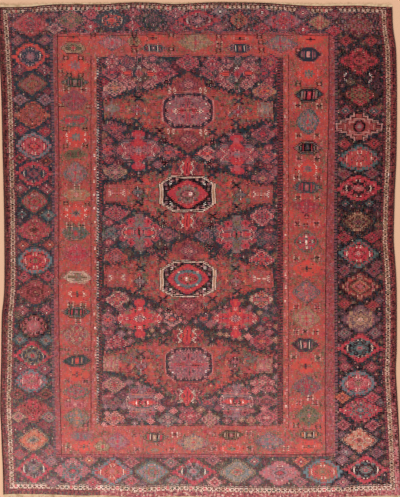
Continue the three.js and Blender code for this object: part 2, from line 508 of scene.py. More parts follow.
# %% Grounds of the other bands
paint((band == MAIN) | (band == FIELD), "navy pine night navy navy ink navy brown plum")
paint(band == GUARD, "rose madder berry madder madder mauve")
RED_LOTS = 0.6 * clouds(PX, PY * 1.6, 17.0, 71) + 0.4 * clouds(PX, PY, 4.0, 72)
paint(band == RED, "brick rust brick madder crimson rust olive")
paint((band == RED) & (RED_LOTS < 0.42), "madder rust olive brick moss rose madder")
paint((band == RED) & (RED_LOTS > 0.58), "scarlet brick rust rose brick rust")
paint(band == INNER, "brick rust madder rust rose")
print("red border in lots, mean", round(float(RED_LOTS[band == RED].mean()), 3))

# %% [markdown]
# ## The field: stars, wings and rosettes
#
# On the dark ground stand ten stars in five rows. Each has a wing at either
# side, and along both edges of the field runs a column of rosettes. They are
# all woven first, and the four great medallions are laid over them.

# %% Star recipes
STARS = {
    "purple": """navy loz 25 18.4 1.07, plum loz 23.4 17 1.07, navy loz 9.2 6.6 at 9.4 10.8
        pink loz 8.2 5.7 at 9.4 10.8, berry loz 7 4.7 at 9.4 10.8, mauve loz 5.9 3.8 at 9.4 10.8
        pink loz 4.6 2.9 at 9.4 10.8, navy loz 3.4 2 at 9.4 10.8, scarlet box 1.2 .7 at 9.4 10.8
        navy loz 6.6 4.6 at 17.4 5.6, rose loz 5.8 3.9 at 17.4 5.6, berry loz 4.4 2.8 at 17.4 5.6
        pink box 1 .6 at 17.4 5.6, pine bow 3.8 4.4 .4 at 0 13.6, lilac box .4 3.8 at 1.9 13.4
        navy loz 4.6 2.4 at 0 17.6, rose loz 3.4 1.6 at 0 17.4, navy hex 9 4 .7 at 11 0
        rose hex 8 3.3 .7 at 11 0, night hex 7 2.6 .7 at 11 0, scarlet hex 6.4 1.9 .8 at 11.2 0
        navy loz 8.4 8.6, cream wed 7.4 2.4 .9 .3, pink wed 5.2 3 .9 .36, pink arc 6.6 1.8 .1 .36
        mauve loz 4.8 5, brick+crimson loz 3 3.8, ink box .4 2.8, navy box 1.2 1.1 at 3.4 3
        cream cut .9 1.6 at 14.6 4.2, sand cut .9 1.2 at 16 2.4""",
    "crimson": """navy loz 27.5 15.4 1.02, mauve hex 25.4 11 .4, navy hex 24.2 10.2 .4
        rose hex 23 9.4 .45, plum hex 21.8 8.8 .5, rose hex 20.6 8.4 .5
        mauve+rose+crimson hex 18.6 8 .5, plum hex 15.8 6.8 .5, rose+crimson+mauve hex 14.8 6.2 .5
        grey+lilac hex 4.6 1.3 .8 at 12 8, navy oct 8.2 4.8 .5 at 0 16.2
        crimson oct 6.8 3.3 .5 at 0 16.2, scarlet+crimson box 3 2.4 at 0 16.4
        crimson+rose box 3 4 at 0 12, crimson+scarlet+crimson hex 7.6 4.6 .6 at 0 7
        navy cut .9 1.6 at 5.6 10.4, plum loz 9.6 4.8, rose loz 8.6 4, lilac loz 5.4 2.6, rose loz 3.6 2
        lake loz 2.2 1.4, ink box .5 .5 at 3.6 2, pink box .5 .5 at 1.8 3.4
        cream cut .9 2.4 .4 at 14.4 4, rose cut .9 3 at 11.6 4, plum cut 1.3 3.4 .6 at 17.2 3.4""",
    "teal": """navy loz 25 19 1.11, lilac loz 22.6 17 1.09, plum loz 21.4 16 1.09
        mauve+rose loz 20.2 15 1.09, mauve+grey loz 9 8 1.1 at 0 9, navy loz 6.6 5 at 8.8 11
        rose loz 5.6 4.1 at 8.8 11, crimson loz 4.4 3.1 at 8.8 11, ink box .8 .8 at 8.8 11
        grey+olive+mauve bow 4.6 5.4 .5 at 0 13, rose box .5 1.2 at 0 16, navy loz 6 4.2 at 16 6
        rose loz 5 3.4 at 16 6, crimson loz 3.8 2.4 at 16 6, plum loz 2 1.2 at 16 6
        grey+teal lines 12 2.6 2 at 0 5.4, navy hex 9 3.8 .7 at 9.6 0, rose hex 8 3 .7 at 9.6 0
        crimson+scarlet+rose hex 6.8 2.3 .8 at 9.6 0, crimson+rose box 3.6 .8 at 8.4 6.8
        navy loz 5.6 6.4, crimson+rose loz 4.8 5.6, ink+pine box .9 4.4, pink arc 6 1.2 .1 .36
        cream cut .9 1.5 .4 at 14 4.2, sand cut -.9 1.4 .4 at 16.4 2""",
    "rose": """navy loz 27 15.6 1.14, mauve+berry loz 25.4 13 1.3, plum loz 24.2 12.1 1.3
        crimson+rose+scarlet loz 23.2 11.4 1.3, berry+rose loz 19.6 9.4 1.2
        crimson+scarlet+crimson loz 18.2 8.6 1.2, grey+olive loz 4.6 1.8 at 11.6 6
        navy oct 7 5 .5 at 0 15.8, scarlet+crimson oct 5.4 3.8 .6 at 0 15.8
        scarlet+crimson box 3 4 at 0 11.4, scarlet+crimson loz 10 10.6 .93
        mauve+plum loz 3.6 1.5 at 13 0, navy box 2.4 .5 at 10.4 0, berry loz 7.4 5, pink+cream loz 6.2 4
        ink+berry loz 5 3, lilac loz 3.2 2, crimson box .9 .7, cream wed 8.6 2.8 -.7 .4
        pine box .9 .6 at 4.4 8, cream cut .9 1.6 at 19 3.4, sand cut -.9 1.2 at 21 1.6""",
    "last": """navy loz 22 20.6 1.2, lilac+rose loz 19 18.6 1.15, plum loz 17.8 17.4 1.15
        mauve+rose+mauve loz 16.8 16.4 1.15, lilac+grey lines 13 7 2.2 at 0 8
        navy loz 6.4 4.4 at 8.6 11, rose loz 5.4 3.4 at 8.6 11, berry loz 4.2 2.4 at 8.6 11
        ink box .8 .6 at 8.6 11, mauve+lilac bow 4 4.4 .4 at 0 13.4, teal+pine box 1 1 at 0 16.4
        navy hex 17.4 4.6 .6, rose hex 16.4 3.8 .7, crimson+scarlet hex 14.8 3.2 .7
        scarlet hex 12.6 2 .7, ink+maroon loz 4.8 5.6, rose+pink box 2.2 .6, crimson box 1 1.6
        ink box 1 1 at 0 3.4, white arc 6 1.6 .1 .4, cream+pink wed 6.8 2.8 -.9 .4
        cream cut .9 1.5 .4 at 13.4 4.8, sand cut -.9 1 at 15.2 2.6, rose+orange lines 9 .5 1 at 6 8.4""",
}
WING = """navy stair 12.6 8.2 1.05, A stair 11 6.8 1.05, N loz 8.8 5.2, B loz 7.8 4.4, N loz 5 2.8
    C loz 4 2.1, A box .8 .6, C hex 3.2 1 .6 at 9 0, N box .5 .6 at 6 0"""
ROSETTE = """navy loz 13.4 10 1.1, A+A+B stair 11.6 8.4 1.06, N loz 9.8 7, B loz 8.8 6
    N ray 6.4 4.4 .4 8, B+D loz 4.8 3.2, C loz 3.4 2.2, N box .8 .6, A box .5 .5 at 3.2 3
    E box .5 .5 at 6.8 0"""
OVAL = "navy loz 7.2 4.6 1.27, A loz 6 3.4 1.23, B+A+plum loz 4.6 2.2 1.18, C box .6 .6 at 2 0"

print(len(STARS), "star recipes")

# %% Stars, wings and rosettes in their places
def sow(recipe, letters, table):
    """Weaves a recipe at each row's places, with the row's own wools for its letters."""
    for words in table_rows(table):
        last = len(words) - len(letters)
        scales = [float(n) for n in words[2:last]]
        for cx, cy in spots(*words[:2]):
            motif(cx, cy, recipe, *scales, **dict(zip(letters, words[last:])))


sow(WING, "ABC", """
    112/165.5 72/73.7 rose mauve+berry crimson, 212.5 74 rose berry+mauve crimson
    263.6 73.9 berry mauve+dusk crimson, 108 149.5 rose crimson+rose scarlet
    168.5 152 rose mauve+rose scarlet, 207 153.6 pink crimson+rose scarlet
    267 155.5 rose mauve+rose scarlet, 111 234.5 grey mauve+grey teal
    168.5 234.5 mauve rose+mauve berry, 205 235.5 lilac rose+dusk berry, 267 237 dusk mauve+grey rose
    108 319 rose mauve+rose scarlet, 171.5 320 pink mauve+night scarlet
    203 318 night slate+mauve scarlet, 266 318.5 dusk teal+moss+grey crimson
    113 402.5 mauve dusk+mauve+olive berry, 169 402.5 dusk maroon+berry berry
    208 402.5 dusk rose+night+teal crimson, 266 402 rose madder+dusk berry""")
for across, down, name in table_rows("""
    138.9/237.4 73.4/73.9 purple, 138.3/237.2 149.8/153.9 crimson, 139/236.5 232.5/234.5 teal
    139.8/235.6 318.5 rose, 141.8/236.5 403/401.8 last"""):
    for cx, cy in spots(across, down):
        motif(cx, cy, STARS[name])
sow(ROSETTE, "ABCDE", """
    111.5 61.7 .8 .8 rose pink+berry crimson rose white, 115 88.1 pink tan+rose orange olive crimson
    114.5 128.2 mauve rose+berry crimson rust mauve, 115 171.5 tan tan+mauve+rose salmon berry tan
    116.5 212.6 rose crimson+rose berry tan mauve
    116.5 257.5 1 1.1 rust crimson+rose+brick rose grey crimson
    117 299 sand crimson+rose orange teal berry, 116.5 343 pink crimson+berry rose tan maroon
    114.5 384.5 pink rose+tan crimson olive rose, 114 418.5 .95 .8 pink rose+orange crimson rust rose
    270.5 62.6 .8 .9 berry rose+crimson rust tan rose
    265 91.8 1 1.05 tan rose+orange crimson olive grey, 263.5 134.5 rose mauve+berry crimson rust rose
    263 177.6 rose rose+mauve+berry tan rust berry, 262 216.5 1 1.15 pink crimson+rose mauve berry mauve
    262 259.5 1.05 1.1 pink crimson+scarlet rose grey mauve
    261 299 sand crimson+rose+orange rose teal mauve, 261 341 rose crimson+berry orange mauve berry
    263 382 1.1 1 pink rose+crimson pink olive sand, 267 417.5 .95 .9 rose crimson+rose pink rose tan
    126.5 62 .7 .7 mauve rose+mauve berry crimson rose
    188.3 63 .95 .95 rose crimson+rose mauve grey berry
    212 63.5 .8 .8 rose crimson+rose mauve pink rose, 190 416 .95 1 rose crimson+rose pink crimson cream
    167.5 419.5 .95 .8 grey salmon+grey rose mauve tan, 210 419.5 .9 .8 tan rose+salmon tan rose berry""")
sow(OVAL, "ABC", """
    108.5 99/140.8/159.9/186/223/243/332/357.5/396 berry rose pink
    269 81/122.3/147/166/187.5/206/230/247.5/290/325/352/369/388 berry rose pink
    153/165.5/226/250 59/63.5/61/60 .9 1 mauve rose pink""")

print("stitches of navy ground left", int(np.sum((band == FIELD) & (wool == NUMBER["navy"]))))

# %% [markdown]
# ## The four medallions
#
# A medallion is a long hexagon with hooked edges that spans the field. It is
# given by how far it reaches up and down from its middle line, and a dark path
# runs round it. Its madder ground is streaked: patches of olive, brown-red and
# scarlet lie like flames beside each other, the same left and right.

# %% Dark paths and streaked grounds
MIDDLE = 188.2
UPPER = """0 37, 5 36, 9 34.5, 13 33.5, 15.5 32, 16.5 27, 20 25.5, 28 24.5, 36 23, 44 20.5, 50 19.5
    55 18, 60 16, 66 14.5, 72 13, 80 12, 86 11.5"""
LOWER = """0 38.5, 4 37, 8 35, 13 32.5, 19 29.5, 24 27, 29 23.5, 36 19.5, 42 16.5, 49 13.5, 55 12.5
    60 10.5, 66 8, 72 6, 76 5, 84 6, 86 7"""
PATH_ABOVE = "0 2.4, 15 2.6, 17 5, 25 4, 35 3, 45 2.6, 57 2.6, 72 2.4, 86 2"
PATH_BELOW = "0 2.4, 50 2.6, 58 3.4, 64 4.6, 72 4.6, 78 3, 86 2.4"
MEDALLION_REACH = 84.5
HOOK = 2.3
# the right half lies a little lower than the left
LEAN, LEAN_OVER = 1.8, 60
# how bright a flame has to be for each streak
OLIVE_BELOW, DULL_BELOW, BRIGHT_ABOVE = 0.38, 0.46, 0.60
MEDALLIONS = ((112.5, 1.0), (195.8, 1.0), (278.8, 1.04), (364.3, 1.05))

from_middle = np.abs(SX - MIDDLE)
lean = np.clip((SX - MIDDLE) / LEAN_OVER, 0, 1) * LEAN
hooks = np.where(np.floor(from_middle / HOOK) % 2 == 0, 0.9, -0.8)
path = np.zeros(PX.shape, bool)
reaches = []
for cy, size in MEDALLIONS:
    rise = SY - cy - lean
    limit = np.where(rise < 0, line(UPPER, from_middle), line(LOWER, from_middle)) * size
    reach = np.minimum(limit + hooks - np.abs(rise), MEDALLION_REACH - from_middle)
    thick = np.where(rise < 0, line(PATH_ABOVE, from_middle), line(PATH_BELOW, from_middle))
    path |= (band == FIELD) & (reach > -thick)
    reaches.append((reach, rise))
paint(path, "navy navy pine navy night navy brown ink")
for i, (reach, rise) in enumerate(reaches):
    m = (band == FIELD) & (reach > 0)
    # flames lie along the rug's width and are the same left and right of the middle
    flame = 0.55 * clouds(from_middle, rise * 2.2, 6.0, 40 + i)
    flame += 0.45 * clouds(from_middle, rise * 1.6, 2.6, 50 + i)
    fold = speckle(np.floor(from_middle / 2.6 + rise * 0.37), np.floor(rise / 1.6), 60 + i)
    paint(m, "brick madder rust olive madder crimson rust brown berry", fold)
    paint(m & (flame < DULL_BELOW), "plum madder maroon olive madder berry mauve", fold)
    paint(m & (flame < OLIVE_BELOW), "olive moss teal mauve olive brick moss", fold)
    paint(m & (flame > BRIGHT_ABOVE), "scarlet rust brick rose brick madder", fold)
    paint(m & (np.abs(reach - 2.2) < 0.5), "plum maroon madder")
inside = np.max([reach for reach, _ in reaches], axis=0)[band == FIELD] > 0
print("share of the field in the medallions", round(float(np.mean(inside)), 2))

# %% What lies on the medallions
TIP = """madder+plum+berry+madder loz 17 13, berry+plum loz 12 9, mauve+rose loz 8.6 6.4
    plum loz 6.8 4.8, rose+pink loz 5.2 3.6, berry loz 3.4 2.2, pink box .6 .5"""
STREAKS = """crimson+scarlet loz 5.4 9.4 1.2, navy cut .4 4.6 at 2.6 1, pine cut -.5 3.4 at 5.4 2.4
    crimson box .8 7.4, cream cut .9 1.6 at 5 5.4, cream cut -.9 1.4 at 5.4 2.4
    crimson+rose cut .6 3 at 8.4 2, navy cut .6 2.4 at 10.4 2.4, pink box .5 .5 at 0 6.4
    ink box .4 2.4 at 0 3, sand box .5 .5 at 7.6 6"""
PLAIN_OCTAGON = """brick oct 27.2 19.6 .44, pink+rose oct 25.6 18.7 .44
    navy+plum+night oct 24.8 17.9 .44, pink+rose wed 14.4 .9 1.2 .5 at 4 0
    pink+rose wed 14.4 .9 1.2 .5 at 8.4 0, rose+pink wed 14.4 .9 1.2 .5 at 12.6 0
    pink vee 21 1.2 1.4 .5 at 0 3, pink vee 21 1.2 1.4 .5 at 0 7.4, lilac+pink box 1.6 1 at 18 12.4
    mauve+rose+lilac oct 21.2 14.6 .48, ink+night+pink lines 1.4 8 2.8 at 21.2 0
    ink+night+pink bars 11 1.2 3 at 0 14.4, plum ex 19 13 .3, rose+mauve ex 13 13 .3
    mauve+rose+mauve loz 16 11.4 1.1, night loz 13 8.8 1.1, mauve+lilac+rose loz 12.2 8 1.1
    rose+pink ex 10 7 .4, night box .4 12, night box 1 .6 at 4.6 6, berry+crimson box .4 11 at 1.8 0
    crimson+brick loz 15 3 at 6 0, mauve+rose loz 6 3.4, ink box 9 .4 at 5 0, W vee 14.6 2.6 1.5 .4
    W vee 11.6 2.6 1.5 .3, rust+orange box 1.2 1.1, ink box .4 .5, white box .5 .5 at 18.2 7.6
    pink box .8 .5 at 16.6 9.4"""
CREAM_OCTAGON = """ink oct 29 18.2 .46, cream+sand+cream oct 28.2 17.4 .46, ink oct 27 16.2 .46
    cream box 1.8 10.6 at 26.3 0, tan+sand+tan box 1.1 10.6 at 26.3 0, ink+ink+night oct 24.3 16.2 .46
    mauve+lilac loz 2.4 1.6 at 21.6 9.4, mauve+lilac+berry loz 2.2 1.5 at 20.8 4.8
    lilac+mauve+pink loz 2.6 1.5 at 15 12.8, berry+pink loz 2 1.2 at 9.6 14.4
    white+pine box 1.2 .7 at 16.6 10, mauve+pine box 1.4 .6 at 12 11.4
    scarlet+crimson+crimson loz 21 14.5 K, crimson+berry+crimson loz 17.4 11.6 K"""
EYES = {
    1.15: """olive+grey+mauve+rose loz 12.4 9.4 1.3, teal+pine box 1.8 1.3 at 8.2 5.6
        pink box .7 .6 at 5.4 7.6, olive+rust box 1.2 1 at 9.6 1.6, ink+plum loz 8.4 5.4 1.2
        rose+olive+rose loz 6.6 3.8 1.2, berry loz 4 2 1.2, pink+white box 1.8 1.2 at 2.6 0 once""",
    1.3: """ink loz 14.2 9.4 1.8, lake+teal loz 13.6 8.8 1.8, cream box .9 .5 at 9.4 6.2
        crimson+madder loz 10.6 6.2 1.8, ink loz 9.2 4.6 1.1, brick+rust loz 7.8 3.6 1.2
        ink loz 4.6 2.2, tan loz 3.6 1.5, pink+white box 1 1.2 at -1.6 0 once""",
}
TIP_REACH = 27

for cy, _ in MEDALLIONS:
    for side in (-1, 1):
        motif(188, cy + side * TIP_REACH, TIP)
sow(STREAKS, "", "187.5 167/222, 187.5 335 1.4, 187.5 396 1.2")
motif(187.8, 110.8, PLAIN_OCTAGON, W="cream")
motif(188.7, 364, PLAIN_OCTAGON, 0.92, 0.96, W="rose")
for cx, cy, bulge in ((187.3, 194, 1.15), (188.3, 279.2, 1.3)):
    motif(cx, cy, CREAM_OCTAGON.replace("K", str(bulge)))
    motif(cx, cy, EYES[bulge])
print("octagons woven in", len(MEDALLIONS), "medallions")

# %% Small motifs round the octagons
# dark lozenges with a dot at each side
sow("""N loz 4.4 3.6 1.23, pink+A box .5 .5 at 2.2 1.7, cream box .36 .5 at 0 2.8, A box .6 .5 at 3.2 0
    berry box .8 .8""", "AN", """
    163.7/212.2 141/142.5 rose ink, 164.3/209.2 163/164 rose ink, 165.4 248 mauve ink
    208.5/163.5 247/224 rose ink, 211.5/168 225/311 rose ink, 205.8 310 orange ink, 163.5 341 rose ink
    212 343 mauve ink, 201 298 rose brick, 166/210.5 81.5/82 rose ink""")
# madder lozenges with cream strokes
sow("""madder loz 4.6 3.8, cream cut 1.2 2.4 .5, cream cut -1.2 2.4 .5, orange box .6 .6
    cream box .5 .5 at 3.2 0""", "", "171.5/202 90.5, 170.8 131.4, 202.9 132.5")
# dark crosses with four dots
sow("ink+navy ex 5.4 4 1.2, rose+tan+berry box .8 .8 at 0 3.4, berry+olive box .8 .8 at 4.2 0", "", """
    138.5 98.4, 136 121.7, 160 131, 160.8 172, 138.5 179, 138.5 202.6, 162 214.4, 238.4 101, 236 122
    212 132.5, 212 174.6, 236.4 185.2, 237 207, 213 216.4, 162 258, 140.5 267.5, 139 289, 163 299.5
    164 342.5, 140.5 354.5, 141 377, 162.5 387, 213 257, 235.5 268, 236.5 290.5, 212.5 299, 212.5 342
    235 350.5, 236 373.5, 211 382.5""")
# blocks at both sides of the plain octagons, and then those beside the cream ones
sow("""A+B+madder+mauve box 8.4 7.4, A+B loz 6 5 1.2, B box 1 4.4, pink ex 1.6 1.8 .4 at -3 1 once
    sand box .5 .5 at 5 -4 once""", "AB", """
    111.5 108.5 olive grey, 111.5 364 tan rose, 265 109.5 tan grey, 265 365 tan rose""")
sow("""madder box 10.5 8.8, brick+rust+madder box 9.6 8, rose+mauve lines 9 6.6 3.2
    madder+rust box 3.4 6, cream vee 4.2 2.8 -1.6 .36, cream+rose box 4.2 .4, rose vee 7.2 2.8 -1.6 .36
    olive+grey loz 1.6 1.2 at 0 3.4""", "", """
    117 192.5, 117.5 277.5, 261.5 193.5, 261.5 279""")
# lozenges with bright corners, on the medallions' shoulders
sow("""ink+madder loz 7.5 5.6 1.04, A+mauve loz 5.8 4 1.04, B loz 3 2 1.04, white box .6 .6 at 0 4.6
    sand box .7 .6 at 7.9 0, orange box .7 .7 at 9.5 1.6, ink ex 2 1.4 .4""", "AB", """
    137.3/237.7 110/111.7 lilac crimson, 138 192 grey teal, 240.5 195 teal grey, 140 281 grey lilac
    236 281 rose grey, 141 366 lilac berry, 235 362 ink rose""")

print("stitches of madder ground left", int(np.sum((band == FIELD) & (wool == NUMBER["madder"]))))

# %% [markdown]
# ## Little flowers
#
# A weaver leaves no hole in the ground. What is still plain is filled with
# little dull flowers: the widest gap gets the first one, and so on down to the
# smallest gap that can hold one.

# %% Fill the ground that is left
UPPER_FLOWERS = """mauve night, rose plum, lilac berry, madder berry, berry night, mauve crimson
    grey slate, olive madder, teal plum, mauve berry, moss plum, crimson plum, pine mauve"""
LOWER_FLOWERS = """rose mauve, mauve berry, mauve plum, pink crimson, lilac mauve, rose night, rose teal
    tan berry"""
BORDER_FLOWERS = """berry plum, dusk night, mauve maroon, madder plum, mauve slate, maroon dusk
    olive plum, moss berry"""
DOTS = "cream pink rose rose tan".split()
PLAIN = np.isin(NAMES, "navy night pine ink plum maroon".split())
# gaps are counted in steps of three stitches, which is about a square
STEP, STEP_SIZE = 3, 1.06
WIDEST_GAP, LEAST_GAP = 8, 2
LARGEST_FLOWER = 5
FLOWER_WIDE, FLOWER_HIGH = 1.5, 1.1


def fill_ground(area, keep, seed, kinds):
    """Sows little flowers on the plain ground that is left, and counts them."""
    kinds = table_rows(kinds)
    # a place's depth is its distance to the nearest motif
    plain = (PLAIN[wool] & area & ~path)[1::STEP, 1::STEP]
    px, py = PX[1::STEP, 1::STEP], PY[1::STEP, 1::STEP]
    depth = np.zeros(plain.shape, int)
    for _ in range(WIDEST_GAP):
        depth += plain
        beside = [np.roll(plain, shift, axis) for shift in (1, -1) for axis in (0, 1)]
        plain = plain & np.all(beside, axis=0)
    count = 0
    for level in range(WIDEST_GAP, LEAST_GAP - 1, -1):
        rows, columns = np.nonzero(depth >= level)
        for i in np.argsort(speckle(rows, columns, seed)):
            r, c = rows[i], columns[i]
            if depth[r, c] < level:
                continue
            size = min(level, LARGEST_FLOWER) * STEP_SIZE - keep
            wide, high = size * FLOWER_WIDE, size * FLOWER_HIGH
            a, b = kinds[int(speckle(r, c, seed + 1) * len(kinds))]
            dot = DOTS[int(speckle(r, c, seed + 2) * len(DOTS))]
            motif(px[r, c], py[r, c], f"""{a} loz {wide} {high} 1
                {b} loz {max(wide - 1.3, 0.7)} {max(high - 1, 0.6)} 1
                {a} loz {size * 0.5} {size * 0.36} 1, {dot} box .5 .5""")
            reach = int(round(wide + keep))
            depth[max(r - reach, 0) : r + reach + 1, max(c - reach - 1, 0) : c + reach + 2] = 0
            count += 1
    return count


field = band == FIELD
PALER_BELOW = 305
upper_count = fill_ground(field & (PY < PALER_BELOW), 0.8, 5, UPPER_FLOWERS)
lower_count = fill_ground(field & (PY >= PALER_BELOW), 1.1, 5, LOWER_FLOWERS)
print("little flowers in the field", upper_count, "and", lower_count)

# %% [markdown]
# ## The two borders
#
# The dark border has a large rosette after each pair of small ones, and no two
# are alike. Seven recipes with their own wools give the variety, and five more
# are for the lozenges, blocks, boats, leaves and stars of the red border. Each
# row of a table is a recipe, a place in squares, a half width and half height,
# and the wools for A, B, C, D and N. K in a recipe is how round its outline is,
# from 1 for straight sides to 2 for an oval; a row gives it after a colon.

# %% Recipes of the borders
RECIPES = {
    "ring": (17, 14, """A stair 17 14 K, A hex 3 1.8 .9 at 16.6 0, N stair 13 10.2 K
        B+D box 1.8 1 at 6.4 5.6, D box 1.4 .9 at 2.8 7.6, B box 1 .8 at 9.4 3.2, N+D+N ray 8.8 6.6 .3 8
        N loz 6.6 4.9 1.2, B loz 5.5 4.1 1.2, D loz 4 3 1.2, C loz 2.5 1.8 1.2, N box .6 .6
        cream arc 10 3 .1 .45, cream box .5 .5 at 1.6 8.6"""),
    "hex": (17, 13, """A stair 17 13 K, N stair 15 11.4 K, B stair 14.2 10.6 K, A stair 11.6 8.6 K
        N+D+A stair 10.4 7.6 K, B+D stair 9.4 6.8 K, N stair 7 5 K, A+B loz 6 4.2 1.1, D loz 3.8 2.8 1.1
        C box 1 .9, cream box .5 .5 at 0 8, A box 2.4 1.2 at 15.5 0, cream box .5 .5 at 12.6 0
        D box 1 .8 at 7.4 5"""),
    "dome": (17, 13, """A saw 17 13 .12 2.6, N stair 15 11.4 K, B stair 14.2 10.7 K, A+D stair 12.2 9 K
        B+D+B ray 11 8.2 .3 8, N stair 7.6 5.4 K, A loz 6.7 4.6 1.15, C+B loz 5 3.3 1.1
        N loz 2.4 1.6 1.04, C box 1 .8, sand box .6 .5 at 3 8"""),
    "teal": (18, 13.6, """A+A+D+A stair 18 13.6 K, A+D stair 15.4 11.4 K, N stair 14 10.2 K
        B stair 13 9.3 K, D+B+D ray 11.4 8.2 .3 8, B loz 8.4 5.8 1.1, N loz 6.6 4.6 1.1
        B loz 5.6 3.8 1.1, C loz 3 2.1 1.1, N box .6 .6, cream box .5 .5 at 1.8 7
        cream arc 10.4 2.8 .07 .45, D box 1 1 at 7 4.6, cream box .5 .5 at 1.4 6"""),
    "plum": (18, 13.4, """A stair 18 13.4 K, D stair 15.6 11.4 K, A+B+A stair 14.6 10.6 K
        N stair 9.6 7 K, D stair 8.6 6.2 K, B stair 7.6 5.4 K, N loz 5 3.5 1.1, C loz 3.6 2.5 1.1
        B box 1.6 1.2 at 8.8 6, cream box .5 .5 at 2 8.4, rose arc 11.4 3 .1 .5, D box 1 .8 at 12.4 3"""),
    "cross": (23, 15, """A box 23 3.4, A box 18.6 6, A box 13.4 8.4, A box 8.8 11, A box 5 15
        N box 22 2.5, N box 17.6 5.1, N box 12.4 7.5, N box 7.8 10.1, N box 4 14.1, B box 21 1.7
        B box 16.8 4.3, B box 11.6 6.7, B box 7 9.3, B box 3.2 13.3, A box 14.6 3.2, A box 10 5.6
        A box 5.6 8.2, B box 13.8 2.4, B box 9.2 4.8, B box 4.8 7.4, N loz 6.2 7.2 1.7, D loz 4.4 5 1.5
        C loz 2.6 2.6 1.1, A box .6 .6"""),
    "small": (5.8, 4.4, """navy loz 7 5.4 1.05, A loz 6 4.5 1.05, N loz 4.5 3.3, B loz 3.9 2.8
        N loz 2 1.4, C box .9 .7, D box .36 .5 at 0 2.6, A box 1 .5 at 5.6 0"""),
    "lozenge": (13.5, 10.5, """N loz 14.2 11.2 K, A loz 13.5 10.5 K, N loz 12.3 9.4 K
        B+D+A loz 11.7 8.9 K, A+D ray 10.5 8 .3 8, B box .6 8, B box 10 .6, C+crimson loz 2.4 2 1.09
        C box 1 .9 at 0 5.4, C box 1 .8 at 6.6 0, D box .8 .8 at 4.6 4"""),
    "block": (14.5, 9, """A loz 14.5 9 1.23, rust+A box 12.5 4.6, N loz 3.4 1.2 1.09, N box 1 3
        N box 5.4 .7, B box .9 .9, C vee 8.4 3 1.2 .4, N box .7 .7 at 6.5 4.6"""),
    "boat": (14.4, 5.4, """N hex 14.4 5.4 .55, A hex 13 4.4 .55, N hex 11.8 3.8 .55, B box .5 3 at 4.4 0
        C box 1.6 2.6, D box .8 2.6 at 6.8 0, A box 1.3 1 at 10.4 0, B box .5 .8"""),
    "leaf": (13.6, 5, """N hex 14.2 5.6 .5, A hex 13.6 5 .5, B+A+D hex 12.2 4 .5, N box .4 4
        A+D box 4 2.4 at 5.4 0, C loz 2.4 2.2 1.09, D box .8 .7 at 6 0"""),
    "star": (13.8, 10.4, """madder loz 14.6 11.2 1.05, A loz 13.8 10.4 1.05, brick+A loz 12.4 9.2 1.05
        A+scarlet loz 10 7.4 1.05, B ray 6 4.8 .4 8, B+D loz 3.8 3 1.1, D box .8 .7
        C vee 9.4 1.8 1.2 .36 at 0 3.2, ink box .9 .8 at 11.4 0, C box .5 .5 at 0 8
        C box .5 .5 at 6 6.4"""),
}
print(len(RECIPES), "recipes")

# %% Weave one row of a border's table
RIMMED = "ring hex dome teal plum cross small".split()
USUAL_BULGE = "1.12"


def grow(kind, cx, cy, wide, high, *wools):
    """Weaves a recipe at its place, size and roundness, with its own wools."""
    kind, *roundness = kind.split(":")
    half_wide, half_high, text = RECIPES[kind]
    cx, cy, wide, high = (float(n) for n in (cx, cy, wide, high))
    bulge = roundness[0] if roundness else USUAL_BULGE
    if kind in RIMMED:
        # a thin dark line goes round each rosette of the dark border, and no little flower covers it
        win = window(cx, cy, wide + MARGIN, high + MARGIN)
        rim = 0.8 if kind == "small" else 1.4
        outline = "loz" if kind in ("cross", "small") else "stair"
        dark = shape_of(outline, SX[win] - cx, SY[win] - cy, wide + rim, high + rim * 0.85, float(bulge))
        wool[win][dark] = NUMBER["navy"]
        path[win] |= dark
    swap = {"N": "night", "D": "grey", **dict(zip("ABCDN", wools))}
    motif(cx, cy, text.replace("K", bulge), wide / half_wide, high / half_high, **swap)


# %% The comb of small teeth along both edges of the dark border
TOOTH = 1.25
BY_BEADS, BY_GUARD = 1.6, 2.8
# from where to where down the rug each comb runs
BEAD_COMB, GUARD_COMB = (14, 482), (34, 456)


def comb(area, place, names):
    """Light and dark teeth in turn."""
    off, n = beat(place, TOOTH)
    light, dark = names.split()
    paint(area & (n % 2 == 0), light)
    paint(area & (n % 2 == 1), dark)


main = band == MAIN
from_beads = np.minimum(PX - FRAMES[1][0], FRAMES[1][1] - PX)
here = (PY > BEAD_COMB[0]) & (PY < BEAD_COMB[1])
comb(main & (from_beads < BY_BEADS) & here, PY, "berry night")
from_guard = np.where(PX < MIDDLE, FRAMES[2][0] - PX, PX - FRAMES[2][1])
here = (PY > GUARD_COMB[0]) & (PY < GUARD_COMB[1])
comb(main & (from_guard < BY_GUARD) & (from_guard > 0) & here, PY, "mauve navy")
print("teeth down the outer comb", round((BEAD_COMB[1] - BEAD_COMB[0]) / TOOTH))

